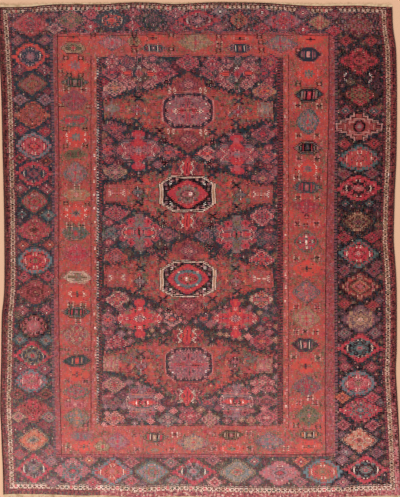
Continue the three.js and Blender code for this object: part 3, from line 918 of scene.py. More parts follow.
# %% The large rosettes of the dark border
for words in table_rows("""
    plum 29.5 24 19 12.5 madder crimson berry rose slate
    ring:1.35 30.5 56.5 17 13.8 scarlet mauve rose lilac navy
    dome 32 84 16.5 12 olive madder rust mauve brown
    hex 33 115.5 17 13.5 rust madder scarlet mauve brown
    teal:1.3 33.5 145.5 17.5 13.5 lake crimson scarlet rose night
    ring:1.4 34 173.5 17 12.5 crimson mauve dusk berry navy
    dome 34 201 15 12.5 olive crimson crimson grey brown
    plum 35 230 18.5 13 berry crimson brown olive brown
    teal:1.7 34.5 260.5 17 12.5 lake crimson olive scarlet ink
    hex 35.5 292 18 12.5 madder berry tan maroon brown
    plum:1.6 33.5 325.5 15 12 ink rose rose madder rose
    ring:1.08 33 356 18 14.5 crimson grey crimson olive navy
    teal:1.3 31 381.5 16 11.5 lake rose olive crimson slate
    hex 33.5 409.5 19 12.5 madder crimson rose maroon ink
    dome 33.5 439.5 16.5 12.5 tan rust teal orange brown
    ring:1.15 34 469 17 14 crimson grey teal mauve navy
    hex 358.5 25.5 18 13 plum maroon crimson berry olive
    dome:1.2 359.5 60.5 21.5 15 madder crimson berry maroon ink
    hex 360 94.5 18 12 brown crimson crimson olive night
    cross 359.5 127 23 14.8 salmon madder grey berry ink
    teal:1.35 359 158.5 21.5 13.2 teal brick rose crimson night
    ring:1.3 358.5 188 21 12.5 crimson rose pink crimson night
    dome 358 221.5 17 13 olive maroon mauve tan night
    teal 358.5 253.5 20.5 14 teal crimson pink crimson night
    plum 360 287 20 14.5 maroon brick rose tan brown, plum 361 320 20 14 dusk tan sand mauve brown
    ring:1.15 360 348.5 21 14 crimson teal rose teal night
    teal:1.3 358 383 19 12.5 lake rose olive crimson night
    hex 360.5 410 20.5 12.5 crimson berry pink teal night
    dome 359.5 440 18.5 13 sand rust berry tan brown
    ring:1.2 365.5 470 20 14 crimson grey crimson teal night
    hex 71 20.5 15.5 9.5 rose moss crimson olive slate
    ring:1.3 112 20.5 17 10 slate orange crimson scarlet navy
    hex 153.5 20 10.5 8.5 pine mauve rose slate navy
    ring 198 20.5 20 10.5 crimson lilac pink mauve night, hex 239.5 20 11 10 night rust pink olive ink
    plum 283 21 19 10 mauve crimson crimson lilac night
    dome 319.5 22.5 13.5 7.5 crimson tan crimson olive olive
    plum:1.2 72.5 471 18 13 rose teal crimson berry night
    teal:1.2 112.5 471.5 20 13 lake rust rose crimson brown
    dome:1.2 152 471.5 18 12.5 olive lake crimson rose moss
    ring:1.15 194 471.5 20.5 13 crimson teal rose lilac night
    dome:1.2 237 471.5 19 12.5 tan grey crimson lake moss
    plum:1.2 279.5 472.5 21 12.5 rose lilac crimson rose night
    teal:1.35 323 472 19.5 12.5 lake rust olive crimson moss"""):
    grow(*words)
print("large rosettes woven")

# %% The small rosettes between them
SMALL_SIZE = (7, 5.4)

for across, down, *wools in table_rows("""
    17/44.5 41/40.5 mauve rose tan rose, 20/45 69.5/70 berry mauve pink white
    20/44.5 99/100 lilac mauve pink teal, 20.5/45.5 130/131.5 berry crimson pink rose
    20 158.5 crimson brown tan crimson, 46.5 161 madder brown orange teal
    20.5 188 berry rose white rose, 47 189 berry rose crimson white, 22 214 night teal berry white
    48 215.5 teal grey crimson white, 22.5/49.5 245 madder rust cream olive
    24/48 276.5 crimson rose brown berry, 22/46.5 309.5/310 berry rose crimson white
    20/46 340 teal grey scarlet grey, 20.5/44.5 369/368.5 mauve berry white rose
    18/46 394 madder brown rose crimson, 19/45 425 berry berry rose mauve, 18.5 416.5 tan rose grey tan
    49 418 grey rose tan grey, 20 454 crimson mauve orange rose, 50 451.5 mauve crimson tan teal
    52 461 mauve lilac rose mauve, 346/371.5 41 madder crimson brown madder
    343.5/373 77 plum night rose madder, 346/374 111 berry teal pink crimson
    344/374 143.5 madder crimson rose berry, 344/372 174 mauve berry rose tan
    345/370 203 night teal pink berry, 344.5/371 237 crimson berry rose crimson
    344/374 271 mauve berry teal rose, 344.5/373 304/305.5 madder crimson rose olive
    344.5/375 333 mauve grey rose berry, 345/372 366/367 berry rose pink mauve
    343 397 orange rust pink berry, 372 397 rose crimson pink berry, 343 425 rose berry pink mauve
    373 424.5 rose berry crimson mauve, 346 452.5 mauve lilac white berry
    376 452.5 mauve dusk rose berry, 54 28.5 pink mauve rose pink, 91 14 rose crimson pink teal
    91 27 crimson rose white berry, 133 12.5 berry rose pink white, 133 26 crimson rose pink white
    176 13 rose mauve pink white, 176 27.5 crimson mauve pink rose, 220 12 lilac grey white mauve
    219 27.5 mauve rose pink berry, 262 13 rose berry white crimson, 262 27.5 crimson berry pink rose
    303 13 mauve rose cream berry, 303 30 berry crimson white rose
    334 30.5 crimson crimson berry crimson, 335 14 plum berry rose crimson
    89 460.5 rose orange cream crimson, 93 482 rose crimson pink crimson
    131 462.5 rose berry pink crimson, 131 481 rose crimson pink mauve, 171 462 rose grey pink crimson
    174 480.5 grey rose pink mauve, 213 460 rose mauve pink crimson, 214.5 482 pink crimson pink mauve
    254.5 461.5 teal rose cream crimson, 256 481 mauve rose pink teal, 301 461 orange crimson cream rose
    299.5 481 rose mauve pink grey, 342 460 mauve lilac pink rose, 343 482 mauve rose cream pink
    53 482 mauve rose pink teal"""):
    for cx, cy in spots(across, down):
        grow("small", cx, cy, *SMALL_SIZE, *wools)
motif(358, 77.3, "white cut -1 1.5 .4 at 11.8 3.6")
print("little flowers in the dark border", fill_ground(main, 1.3, 8, BORDER_FLOWERS))

# %% The red border
for words in table_rows("""
    block 74 37 14 4.5 scarlet moss rose, leaf 73 48 13.5 4.8 tan olive crimson moss
    star 75 65 15 10.5 scarlet lilac orange mauve, boat 75.5 81.5 14.5 5 teal rose grey mauve pine
    lozenge 74 100 14 10.5 mauve rose crimson berry berry
    leaf 74.5 120.5 14 4.8 teal moss crimson crimson moss, star 76 137.5 15 11 scarlet teal cream grey
    boat 74.5 154.5 13 4.4 olive berry moss brown moss
    lozenge:1.4 75.5 174 11.5 10.8 grey teal crimson lilac dusk
    leaf 76.5 195 14 5 tan olive pink rust olive, star 76 213.5 15 10 scarlet grey cream navy
    leaf 75.5 233 14 6 teal mauve crimson moss moss
    lozenge 77 253.5 14 10.5 rose berry mauve crimson berry
    leaf 77.5 276.5 14 5.6 sand grey grey olive olive, block 77.5 293.5 14 9 scarlet grey cream
    boat 76.5 312 15.5 5.6 teal crimson mauve berry pine
    lozenge 76.5 334.5 13 10.8 tan grey crimson berry dusk
    boat 77.5 361 15.5 5.4 pine tan scarlet slate slate, block 76.5 374.5 14 6.5 scarlet teal orange
    lozenge 76 391.5 14 7.5 teal olive berry crimson moss
    leaf 75 405 12 3.6 rose rust pink berry madder, lozenge 77 417.5 13 9.5 grey olive orange teal moss
    leaf 82 435.5 12 4.2 mauve rose berry teal berry, block 84 446 12 6 scarlet teal rose
    leaf 103 446 9 4.6 olive tan crimson tan brown
    lozenge 118 442 12.5 9 mauve rose crimson lilac berry
    boat 154.5 437 13.5 5 olive cream tan crimson ink, star 155 449 14 5 rust olive teal
    lozenge 193 443 17 8.5 grey teal orange tan dusk, boat 231.5 435 14 4.4 moss tan rose sand brown
    star 231.5 448 14 5.4 scarlet olive pink, lozenge 269.5 442 15 9 teal mauve rose lilac dusk
    boat 308.5 434.5 13.5 4.4 olive cream tan orange ink, block 308.5 446.5 13.5 5.8 scarlet teal pink
    lozenge 112.5 43 14 7.5 lilac mauve pink rose navy, leaf 134 42 7 4 tan olive rust brown
    block 153 38.8 12 4.8 scarlet ink pink, boat 153.5 48 13.5 4.2 teal cream mauve berry navy
    lozenge 195 43 18 8.5 tan mauve rust olive olive, block 240 38.4 14 5 scarlet ink pink
    boat 240 47.6 14 4.6 lilac cream berry mauve navy
    lozenge 280.5 43.5 17 8.5 teal mauve crimson lilac dusk, block 310 39.5 13 5.4 scarlet ink rust
    boat 309 54 13.5 6.6 night rose pink mauve navy, star 308.5 73.5 15 11 scarlet teal pink grey
    boat 308.5 95.3 15 6.8 slate rose crimson grey ink
    lozenge:1.5 308 121 11 12.6 teal lake crimson lilac slate
    boat 307.5 148 14.5 6.6 grey crimson slate teal ink, star 308 169.5 14.5 9 scarlet teal cream mauve
    boat 306.5 187 15 6.2 teal crimson rose berry slate
    lozenge 306 207 13.5 7.5 berry rose mauve crimson berry
    lozenge:1.3 306.5 242 12.5 11.5 teal brown cream crimson moss
    block 306.5 268.5 14 8.8 scarlet ink rust, lozenge 306.5 291.5 14 11.5 teal mauve orange rose dusk
    lozenge 306 318.5 13.5 11.5 tan olive crimson rose olive
    boat 305.5 345.5 14.5 6.4 night cream rose mauve navy, block 305.5 366.5 14.5 7 scarlet ink rust
    lozenge 307 386.5 14.5 10.5 teal mauve crimson berry dusk
    lozenge 308.5 415 13 10 olive teal rose moss moss"""):
    grow(*words)
print("red border woven")

# %% Small flowers beside them
sow("N ex 2.6 2.2 .7, A box .7 .7 at 2.2 1.8, B box .9 .9, A box .5 .5 at 2.6 0", "ABN", """
    66/81 57 pine pink ink, 60 71 olive sand ink, 69/81 74.5/75 pine tan ink, 66/84 89.5 sand pine ink
    61/88 105.5/106 tan sand ink, 65/85 129 olive tan ink, 65/86 146 moss tan ink
    77 187.5 sand rose moss, 66/87 203/205 moss tan ink, 69.5/82 226 sand olive ink
    70/83 304.5 sand olive ink, 78 321 sand moss ink, 67/86 349.5/350 rose sand ink
    67.5 380.5 lilac navy ink, 86 381 rose pine ink, 68 447.5 sand pine ink, 68 400 rose sand ink
    86 424 pine rose ink, 134 434.5 rose pine ink, 175 434.5 cream ink brown, 137 449.5 pink pine ink
    172 449.5 pink ink brown, 214.5/249 448/448.5 pink pine ink, 249 433.5 pink rose ink
    286 447.5 sand rose ink, 214 434 rose sand ink, 94 35.5 ink rose brown, 171 34.8 pine sand ink
    171/219 49/36 ink pink brown, 219.5 44 sand rose ink, 219/134 50.5/35 pine rose ink
    134/260 50/36 ink pink brown, 261 43 pine pink ink, 261 50 ink sand brown, 298 50 pine pink ink
    298.5/319 84 pine sand ink, 298/319.5 105.5/106 sand pine ink, 298/317 135.5 sand pine ink
    299/317 158.5 pink pine ink, 297 178 cream pine ink, 319 178 pink pine ink
    298/316.5 198 sand pine ink, 297.5/317 223.5 pink pine ink, 307 216.5 crimson rose ink
    306 225 grey rose ink, 296/317 258 sand pine ink, 296/317.5 307 pink crimson ink
    296/316 332.5 sand crimson ink, 305.5 331 pink pine ink, 294/318 358/357.5 sand pine ink
    311 398.5 cream rose ink, 299/316 402.5 pink crimson ink, 296 425 pine sand ink
    318 427 pine rose ink""")

print("stitches of plain ground left", int(np.sum(PLAIN[wool])))

# %% The inner band's dots
DOT_PITCH = 13.2
INNER_PART = (54, 428)
# each repeat has a dot, a small pair further out and two leaves outermost
PAIR_OUT, LEAF_OUT = 3.4, 5.4

off, n = beat(PY - 4, DOT_PITCH)
stray = 1.6 * (speckle(n, 0, 31) - 0.5)
from_centre = np.abs(PX - 190)
upright = (band == INNER) & (PY > INNER_PART[0]) & (PY < INNER_PART[1])
for near, sway, dot_line, pair_line, edge, wools, seed in (
    (PX < 100, stray, 94.8, 96.4, 91, "cream pink white salmon", 32),
    (PX > 280, -stray, 285.2, 286.6, 288.6, "pink cream orange", 34),
):
    m = upright & near
    dots = m & (np.abs(off - sway) < 0.8) & (np.abs(PX - dot_line - stray) < 0.9)
    paint(dots, wools, speckle(n, 0, seed))
    pairs = m & (np.abs(np.abs(off) - PAIR_OUT) < 0.6) & (np.abs(PX - pair_line + stray) < 0.8)
    paint(pairs, "orange pink rust", speckle(n, 0, seed + 1))
    leaves = m & (np.abs(np.abs(off) - LEAF_OUT) < 0.6) & (np.abs(from_centre - 94 - stray) < 1.4)
    paint(leaves, "olive moss")
    paint(m & (np.abs(PX - edge) < 0.5), "maroon madder")
print("dots down each side", len(np.unique(n[upright])))

# %% The teeth at the field's edge and the fine line beside the guard
TEETH_PITCH = 2.9
LEFT_TEETH, RIGHT_TEETH = 98.8, 280.5
LEFT_SLANT, RIGHT_SLANT = 0.45, 0.3
TEETH_PART = (57, 424)

between = (PY > TEETH_PART[0]) & (PY < TEETH_PART[1])
off, n = beat(PY + (PX - LEFT_TEETH) * LEFT_SLANT, TEETH_PITCH)
teeth = (np.abs(PX - LEFT_TEETH - 0.4) < 2.7) & between
paint(teeth, "madder berry maroon brick")
paint(teeth & (np.abs(off) < 0.95), "navy navy ink")
pale_teeth = teeth & (np.abs(off) > 1.0) & (speckle(n, 0, 4) > 0.3) & (PX < LEFT_TEETH)
paint(pale_teeth, "cream pink white", speckle(n, 0, 6))
off, n = beat(PY - (PX - RIGHT_TEETH) * RIGHT_SLANT, TEETH_PITCH)
teeth = (np.abs(PX - RIGHT_TEETH + 0.2) < 2.9) & between
paint(teeth, "madder berry maroon berry")
paint(teeth & (np.abs(off) < 0.8), "night navy ink")

# the fine maroon line runs from corner to corner of the guard
GUARD_BOX = (56, 332, 33, 456)
left, right, top, bottom = FRAMES[3]
beside = (np.abs(PX - left) < 0.5) | (np.abs(PX - right) < 0.5)
paint(beside & (PY > GUARD_BOX[2]) & (PY < GUARD_BOX[3]), "maroon")
beside = (np.abs(PY - top) < 0.4) | (np.abs(PY - bottom) < 0.4)
paint(beside & (PX > GUARD_BOX[0]) & (PX < GUARD_BOX[1]), "maroon")
print("teeth down the field", len(np.unique(n[between])))

# %% [markdown]
# ## Heather
#
# Close up, no area is one colour. Old yarns were spun from several dye lots
# and have faded unevenly, so about one stitch in four belongs to a neighbour
# in shade. Each wool has its list of companions. The clearest dyes, such as
# navy, crimson and cream, were the best ones and have kept more even. Some
# wools have tired in some parts of the rug only: all but the right border has
# its navy gone olive and brown towards the bottom, and the scarlet of the dark
# border is duller than that of the field.

# %% Mottle every wool with its companions
COMPANIONS = """navy night pine ink plum plum brown
night plum ink maroon navy
pine navy moss ink brown
brick madder rust rose berry scarlet mauve salmon olive
rust brick scarlet tan madder rose olive
madder maroon brick plum rose berry olive
crimson berry rose scarlet maroon pink
scarlet crimson rust rose madder orange
rose mauve berry pink madder grey olive
berry plum rose madder maroon olive
mauve dusk rose plum grey olive olive
lilac mauve grey pink rose
grey moss lilac mauve tan olive
teal slate moss lilac grey pine
lake teal grey slate
olive brown moss tan madder grey
tan olive grey rose sand
sand tan cream pink
cream sand white tan
white cream sand pink
pink rose sand lilac berry
orange rust tan brick pink
maroon plum brown ink madder
plum night maroon berry moss
brown ink maroon olive
ink navy plum brown
slate night dusk teal
moss pine olive brown
dusk night mauve brown
salmon rose sand lilac
denim navy slate plum teal"""
before = wool.copy()
column, row = np.floor(PX / 1.2 + PY * 0.21), np.floor(PY / 0.95)
lot, which, age = (speckle(column, row, seed) for seed in (21, 22, 23))
CLEAR_SHARE, USUAL_SHARE = 0.12, 0.27
CLEAR = "navy ink pink cream white scarlet crimson night lake".split()
for name, *others in table_rows(COMPANIONS):
    strays = lot < (CLEAR_SHARE if name in CLEAR else USUAL_SHARE)
    paint((before == NUMBER[name]) & strays, " ".join(others), which)

# %% Wools that have tired in one part of the rug
RIGHT_BORDER = 330
TIRED_FROM, TIRED_OVER = 170, 340
TOP_PART, BOTTOM_PART = 34, 455
LEFT_PART = (band >= GUARD) | (PX < RIGHT_BORDER)
TIRED = (
    ("navy night ink", LEFT_PART, (PY - TIRED_FROM) / TIRED_OVER, "denim moss brown moss plum plum"),
    ("navy night", (band == MAIN) & (PX > RIGHT_BORDER), 0.6, "ink ink brown ink"),
    ("teal grey lake lilac", band == RED, 0.36, "rose olive tan madder rose"),
    ("scarlet crimson", band == MAIN, 0.3, "berry madder maroon olive rose"),
    ("pink cream sand", (band == MAIN) & (PY < BOTTOM_PART), 0.3, "rose tan grey"),
    ("navy night ink maroon plum berry", (band == MAIN) & (PY < TOP_PART), 0.28,
     "mauve rose grey madder lilac"),
)
for names, area, share, others in TIRED:
    tired = np.isin(before, [NUMBER[n] for n in names.split()]) & area & (age < share)
    paint(tired, others, which)
print("stitches changed", round(float(np.mean(before != wool)), 2))

# %% [markdown]
# ## Nodes
#
# Every material and every tree below is built with one small helper. It adds a
# node, sets what is a number or a word, and links what is a socket. Its inputs
# are a list in the node's own order, or a dictionary by name. Every material
# starts from the Object coordinates and ends in a bump and one shader, so the
# start and the end are written once too.

# %% One helper for all nodes
MATH, NOISE, RAMP = "ShaderNodeMath", "ShaderNodeTexNoise", "ShaderNodeValToRGB"


def add(tree, kind, inputs=(), stops=(), **settings):
    """Adds one node. The (place, colour) stops, where it has them, fill its colour ramp."""
    node = tree.nodes.new(kind)
    for name, value in settings.items():
        setattr(node.color_ramp if stops else node, name, value)
    for name, value in inputs.items() if isinstance(inputs, dict) else enumerate(inputs):
        if isinstance(value, bpy.types.NodeSocket):
            tree.links.new(value, node.inputs[name])
        else:
            node.inputs[name].default_value = value
    while stops and len(node.color_ramp.elements) < len(stops):
        node.color_ramp.elements.new(1.0)
    for i, (place, colour) in enumerate(stops):
        node.color_ramp.elements[i].position = place
        node.color_ramp.elements[i].color = colour
    return node


def new_material(name):
    """An empty material, its tree and its Object coordinates."""
    material = bpy.data.materials.new(name)
    material.use_nodes = True
    material.node_tree.nodes.clear()
    where = add(material.node_tree, "ShaderNodeTexCoord").outputs["Object"]
    return material, material.node_tree, where


def end_material(material, colour, height, strength, depth, finish):
    """The end of a material: its relief and its colour go into a shader with this finish."""
    tree = material.node_tree
    bump = add(tree, "ShaderNodeBump", {"Height": height, "Strength": strength, "Distance": depth})
    inputs = {"Base Color": colour, "Normal": bump.outputs[0], **finish}
    shader = add(tree, "ShaderNodeBsdfPrincipled", inputs)
    add(tree, "ShaderNodeOutputMaterial", [shader.outputs[0]])
    print(material.name, len(tree.nodes), "nodes")


# %% [markdown]
# ## Woven wool
#
# Soumak face: dyed handspun wool, wrapped. It is matt, with hardly any shine,
# because its fibres stand in all directions.
#
# The mesh has one cell for 16 stitches, and each cell carries four colour
# values, one for each row of stitches, whose four numbers are the wools of
# that row. The material finds its stitch in the cell by the woven map, takes
# that number and looks its dye up in one ramp of wools. It is a lookup, as a
# weaver reads a chart.

# %% The woven wool
MAP = "OFBake"
MAP_TOP = 0.96
RAMP_PLACES = 32

woven, tree, where = new_material("soumak_face_wool")
on_map = add(tree, "ShaderNodeUVMap", uv_map=MAP).outputs["UV"]
parts = add(tree, "ShaderNodeSeparateXYZ", [on_map]).outputs
cell_x = add(tree, MATH, [parts["X"], float(CELLS_ACROSS)], operation="MULTIPLY").outputs[0]
cell_y = add(tree, MATH, [parts["Y"], CELLS_DOWN / MAP_TOP], operation="MULTIPLY").outputs[0]
# each quarter of a cell becomes a colour with a single 1 in it: in red, green, blue or alpha
QUARTERS = [(i / IN_CELL, [float(j == i) for j in range(IN_CELL)]) for i in range(IN_CELL)]
of_column, of_row = [
    add(tree, RAMP, [add(tree, MATH, [cell], operation="FRACT").outputs[0]], QUARTERS,
        interpolation="CONSTANT").outputs
    for cell in (cell_x, cell_y)
]
row_parts = add(tree, "ShaderNodeSeparateXYZ", [of_row["Color"]]).outputs
chosen = 0.0
for row, is_row in enumerate((*row_parts, of_row["Alpha"])):
    held = add(tree, "ShaderNodeAttribute", attribute_name=f"row_{row}").outputs
    first_three = add(tree, "ShaderNodeVectorMath", [held["Color"], of_column["Color"]],
                      operation="DOT_PRODUCT").outputs["Value"]
    wool_in_row = add(tree, MATH, [held["Alpha"], of_column["Alpha"], first_three],
                      operation="MULTIPLY_ADD").outputs[0]
    chosen = add(tree, MATH, [wool_in_row, is_row, chosen], operation="MULTIPLY_ADD").outputs[0]
half_place = 0.5 / RAMP_PLACES
in_ramp = add(tree, MATH, [chosen, 1 / RAMP_PLACES, half_place], operation="MULTIPLY_ADD").outputs[0]
dye_stops = [(i / RAMP_PLACES, (*linear(WOOLS[name]), 1)) for i, name in enumerate(NAMES)]
dyes = add(tree, RAMP, [in_ramp], dye_stops, interpolation="CONSTANT").outputs["Color"]
print("dyes in the ramp", len(dye_stops))

# %% [markdown]
# ### Painted light and shade, fading and wear
#
# The top and the right are darker, the bottom and the left are paler. This is
# painted light and shade, a fall of light across the rug, and partly the fading
# of the dyes. A dye that fades turns paler and greyer at once, so the colours go
# through a gamma whose power falls towards the bottom. On top of that each dye
# lot differs a little in bands across the rug, which dealers call abrash, and
# there are soft patches of wear.

# %% Painted light and shade, fading, abrash and wear
spot = add(tree, "ShaderNodeSeparateXYZ", [where]).outputs
# a noise repeats about every 1/scale metres: patches of 400 mm, bands 40 mm high and 800 mm
# long, and fibres of 1 mm, much coarser than real ones so that they show
patches = add(tree, NOISE, {"Vector": where, "Scale": 2.4, "Detail": 3.0}).outputs["Fac"]
stretched = add(tree, "ShaderNodeMapping", {"Vector": where, "Scale": (1.2, 26.0, 1.0)}).outputs[0]
abrash = add(tree, NOISE, {"Vector": stretched, "Scale": 1.0, "Detail": 2.0}).outputs["Fac"]
fibre = add(tree, NOISE, {"Vector": where, "Scale": 900.0, "Detail": 2.0}).outputs["Fac"]

# tone and gamma each start from a number, and every pair adds its product to it;
# the pairs with X and Y are painted light and shade across the rug, and partly fading
shade_and_fade_slope = add(tree, MATH, [spot["Y"], 0.03, -0.08], operation="MULTIPLY_ADD").outputs[0]
tone = 0.67
shares = ((spot["X"], 0.04), (spot["Y"], shade_and_fade_slope), (patches, 0.30), (abrash, 0.26), (fibre, 0.16))
for source, share in shares:
    tone = add(tree, MATH, [source, share, tone], operation="MULTIPLY_ADD").outputs[0]
shade_and_fade_gamma_slope = add(tree, MATH, [spot["Y"], -0.05, 0.055], operation="MULTIPLY_ADD").outputs[0]
gamma = 1.05
for source, share in ((spot["Y"], shade_and_fade_gamma_slope), (spot["X"], 0.04)):
    gamma = add(tree, MATH, [source, share, gamma], operation="MULTIPLY_ADD").outputs[0]
# the gamma darkens the top and the right and pales the bottom: painted light and shade, and partly fading
faded_and_shaded = add(tree, "ShaderNodeGamma", [dyes, gamma]).outputs[0]
toned = add(tree, "ShaderNodeVectorMath", {"Vector": faded_and_shaded, "Scale": tone}, operation="SCALE").outputs[0]
print("woven wool nodes so far", len(tree.nodes))

# %% The slant of the stitches
# Each stitch is a small slanting bead, and each row leans the other way from the one before.
STITCH_SLANT = 0.9
STITCH_RELIEF = 0.0012

stitch_x, stitch_y = [
    add(tree, MATH, [cell, float(IN_CELL)], operation="MULTIPLY").outputs[0] for cell in (cell_x, cell_y)
]
to_and_fro = add(tree, MATH, [stitch_y, 1.0], operation="PINGPONG").outputs[0]
slanted = add(tree, MATH, [to_and_fro, STITCH_SLANT, stitch_x], operation="MULTIPLY_ADD").outputs[0]
swells = [add(tree, MATH, [way, 0.5], operation="PINGPONG").outputs[0] for way in (slanted, stitch_y)]
swell = add(tree, MATH, swells, operation="MULTIPLY").outputs[0]
bead = add(tree, MATH, [swell], operation="SQRT").outputs[0]
height = add(tree, MATH, [fibre, 0.25, bead], operation="MULTIPLY_ADD").outputs[0]
end_material(woven, toned, height, 0.55, STITCH_RELIEF, {"Roughness": 0.95, "Specular IOR Level": 0.04})

# %% [markdown]
# ## The back of the rug
#
# On the back of a soumak the yarn ends hang loose, so the pattern shows only
# as a blur of all its wools, and the surface is shaggy. Nobody looks there
# often, so four tones that drift into each other and a coarse noise are enough.

# %% The shaggy back
def wool_noise(tree, where, colours, scale, detail=4.0):
    """Wool colours that drift into each other, in patches of 1/scale metres."""
    drift = add(tree, NOISE, {"Vector": where, "Scale": scale, "Detail": detail}).outputs["Fac"]
    last = len(colours) - 1
    stops = [(0.3 + 0.4 * i / last, (*linear(colour), 1)) for i, colour in enumerate(colours)]
    return add(tree, RAMP, [drift], stops, interpolation="LINEAR").outputs["Color"]


# loose yarn ends lie about 8 mm apart, in colour patches of 70 mm
back, tree, where = new_material("soumak_back_wool")
shag = add(tree, NOISE, {"Vector": where, "Scale": 120.0, "Detail": 3.0}).outputs["Fac"]
blurred = wool_noise(tree, where, ["#33303a", "#6d3a3c", "#8d4a42", "#6a5a50"], 14.0, 8.0)
end_material(back, blurred, shag, 0.8, 0.003, {"Roughness": 0.95, "Specular IOR Level": 0.15})

# %% [markdown]
# ## The cloth
#
# The face is a grid of cells, stretched between the four edges of the CAD
# cloth. An old flat-woven rug doesn't lie perfectly flat: it has low ripples
# of a millimetre or so, which catch the light. The sides go straight down and
# one large face closes the back.

# %% The points and faces of the cloth
RIPPLE = 0.0007
CALM_EDGE = 0.02

gu, gv = np.meshgrid(np.arange(CELLS_ACROSS + 1) / CELLS_ACROSS, np.arange(CELLS_DOWN + 1) / CELLS_DOWN)
gx, gy = laid_out(gu, gv)
calm = np.clip(np.minimum.reduce([gu, 1 - gu, gv, 1 - gv]) / CALM_EDGE, 0, 1)
ripples = np.sin(gx * 9 + 2 * np.sin(gy * 3)) * np.sin(gy * 7 + 1) + 0.6 * np.sin(gy * 31 + gx * 4)
gz = CLOTH_TOP + RIPPLE * calm * ripples
face_points = np.stack([gx, gy, gz], -1).reshape(-1, 3)
index = np.arange(face_points.shape[0]).reshape(gu.shape)
quads = np.stack([index[1:, :-1], index[1:, 1:], index[:-1, 1:], index[:-1, :-1]], -1).reshape(-1, 4)
rim = np.concatenate([index[-1, :-1], index[:0:-1, -1], index[0, :0:-1], index[:-1, 0]])
foot = np.arange(len(rim)) + len(face_points)
foot_points = face_points[rim] * (1, 1, 0)
sides = np.stack([foot, np.roll(foot, -1), np.roll(rim, -1), rim], -1)
faces = [*quads.tolist(), *sides.tolist(), foot[::-1].tolist()]
print("cells", len(quads), "side faces", len(sides))

# %% Build the cloth
cloth_mesh = bpy.data.meshes.new("soumak_cloth")
cloth_mesh.from_pydata(np.vstack([face_points, foot_points]).tolist(), [], faces)
cloth_mesh.materials.append(woven)
cloth_mesh.materials.append(back)
cloth_mesh.polygons.foreach_set("material_index", [0] * (len(quads) + len(sides)) + [1])
cloth_mesh.polygons.foreach_set("use_smooth", [True] * len(quads) + [False] * (len(sides) + 1))


def new_object(name, mesh):
    """An object of this mesh, at the origin and in the scene."""
    thing = bpy.data.objects.new(name, mesh)
    bpy.context.scene.collection.objects.link(thing)
    return thing


cloth = new_object("soumak_cloth", cloth_mesh)
print("cloth faces", len(cloth_mesh.polygons))

# %% The woven map and the wools of each cell
# The map holds the face in its upper 96 %, and the back in the strip below.
BACK_STRIP = 0.03
SIDE_PLACE = 0.034

flat_map = cloth_mesh.uv_layers.new(name=MAP)
u_of = np.concatenate([gu.ravel(), gu.ravel()[rim]])
v_of = np.concatenate([(1 - gv).ravel() * MAP_TOP, (1 - gv).ravel()[rim] * BACK_STRIP])
corner_point = np.empty(len(cloth_mesh.loops), np.int32)
cloth_mesh.loops.foreach_get("vertex_index", corner_point)
uv = np.stack([u_of[corner_point], v_of[corner_point]], -1)
uv[: 4 * len(quads), 1] += 1 - MAP_TOP
# a side face has no width of its own on the map, so it takes a sliver between the two
uv[4 * len(quads) : 4 * (len(quads) + len(sides)), 1] = SIDE_PLACE
flat_map.uv.foreach_set("vector", uv.ravel())

cells = wool.reshape(CELLS_DOWN, IN_CELL, CELLS_ACROSS, IN_CELL).transpose(1, 0, 2, 3)
# the chart's rows go down and the map's go up, so the lowest row of a cell comes first
for row in range(IN_CELL):
    values = np.zeros((len(faces), 4), np.float32)
    values[: len(quads)] = cells[IN_CELL - 1 - row].reshape(-1, 4)
    values[len(quads) :] = NUMBER["maroon"]
    attribute = cloth_mesh.attributes.new(f"row_{row}", "FLOAT_COLOR", "FACE")
    attribute.data.foreach_set("color", values.ravel())
cloth_mesh.validate()
print("wools on the cells", len(np.unique(cells)))

# %% [markdown]
# ## Geometry Nodes
#
# Two things on the rug repeat a thousand times: the overcast stitches along
# its sides and the warp ends along its ends. Each follows a line, so each is a
# Geometry Nodes tree that takes the line, sets one small shape at every step
# and makes it real. Its sizes are inputs, so a maker can change them.

# %% A tree from named inputs
def new_tree(name, inputs):
    """An empty Geometry Nodes tree with these inputs, and its group input node."""
    tree = bpy.data.node_groups.new(name, "GeometryNodeTree")
    tree.interface.new_socket("Geometry", in_out="INPUT", socket_type="NodeSocketGeometry")
    for label, kind in inputs.items():
        tree.interface.new_socket(label, in_out="INPUT", socket_type=f"NodeSocket{kind}")
    tree.interface.new_socket("Geometry", in_out="OUTPUT", socket_type="NodeSocketGeometry")
    return tree, tree.nodes.new("NodeGroupInput").outputs


def finish_tree(tree, geometry, material):
    """Joins the parts, makes the instances real and gives them their material."""
    joined = tree.nodes.new("GeometryNodeJoinGeometry")
    for part in geometry:
        tree.links.new(part, joined.inputs[0])
    real = add(tree, "GeometryNodeRealizeInstances", [joined.outputs[0]]).outputs[0]
    dressed = add(tree, "GeometryNodeSetMaterial", {"Geometry": real, "Material": material}).outputs[0]
    tree.links.new(dressed, tree.nodes.new("NodeGroupOutput").inputs[0])


def grown_on(name, line_points, tree, values):
    """Runs a tree on a line of points and returns the result as a plain mesh object."""
    mesh = bpy.data.meshes.new(name + "_line")
    steps = [(i, i + 1) for i in range(len(line_points) - 1)]
    mesh.from_pydata([tuple(p) for p in line_points], steps, [])
    guide = new_object(name + "_line", mesh)
    modifier = guide.modifiers.new("grow", "NODES")
    modifier.node_group = tree
    for item in tree.interface.items_tree:
        if item.in_out == "INPUT" and item.name in values:
            modifier[item.identifier] = values[item.name]
    evaluated = guide.evaluated_get(bpy.context.evaluated_depsgraph_get())
    result = bpy.data.meshes.new_from_object(evaluated)
    result.name = name
    guide.modifiers.remove(modifier)
    bpy.data.objects.remove(guide)
    print(name, len(result.polygons), "faces")
    return new_object(name, result)


# %% [markdown]
# ## The overcast sides
#
# Both long sides are whipped with dark wool: a yarn goes round and round the
# outer warps, close together and at a slant. Each turn is one flattened ring
# set on the side's line, turned a little and never twice the same.

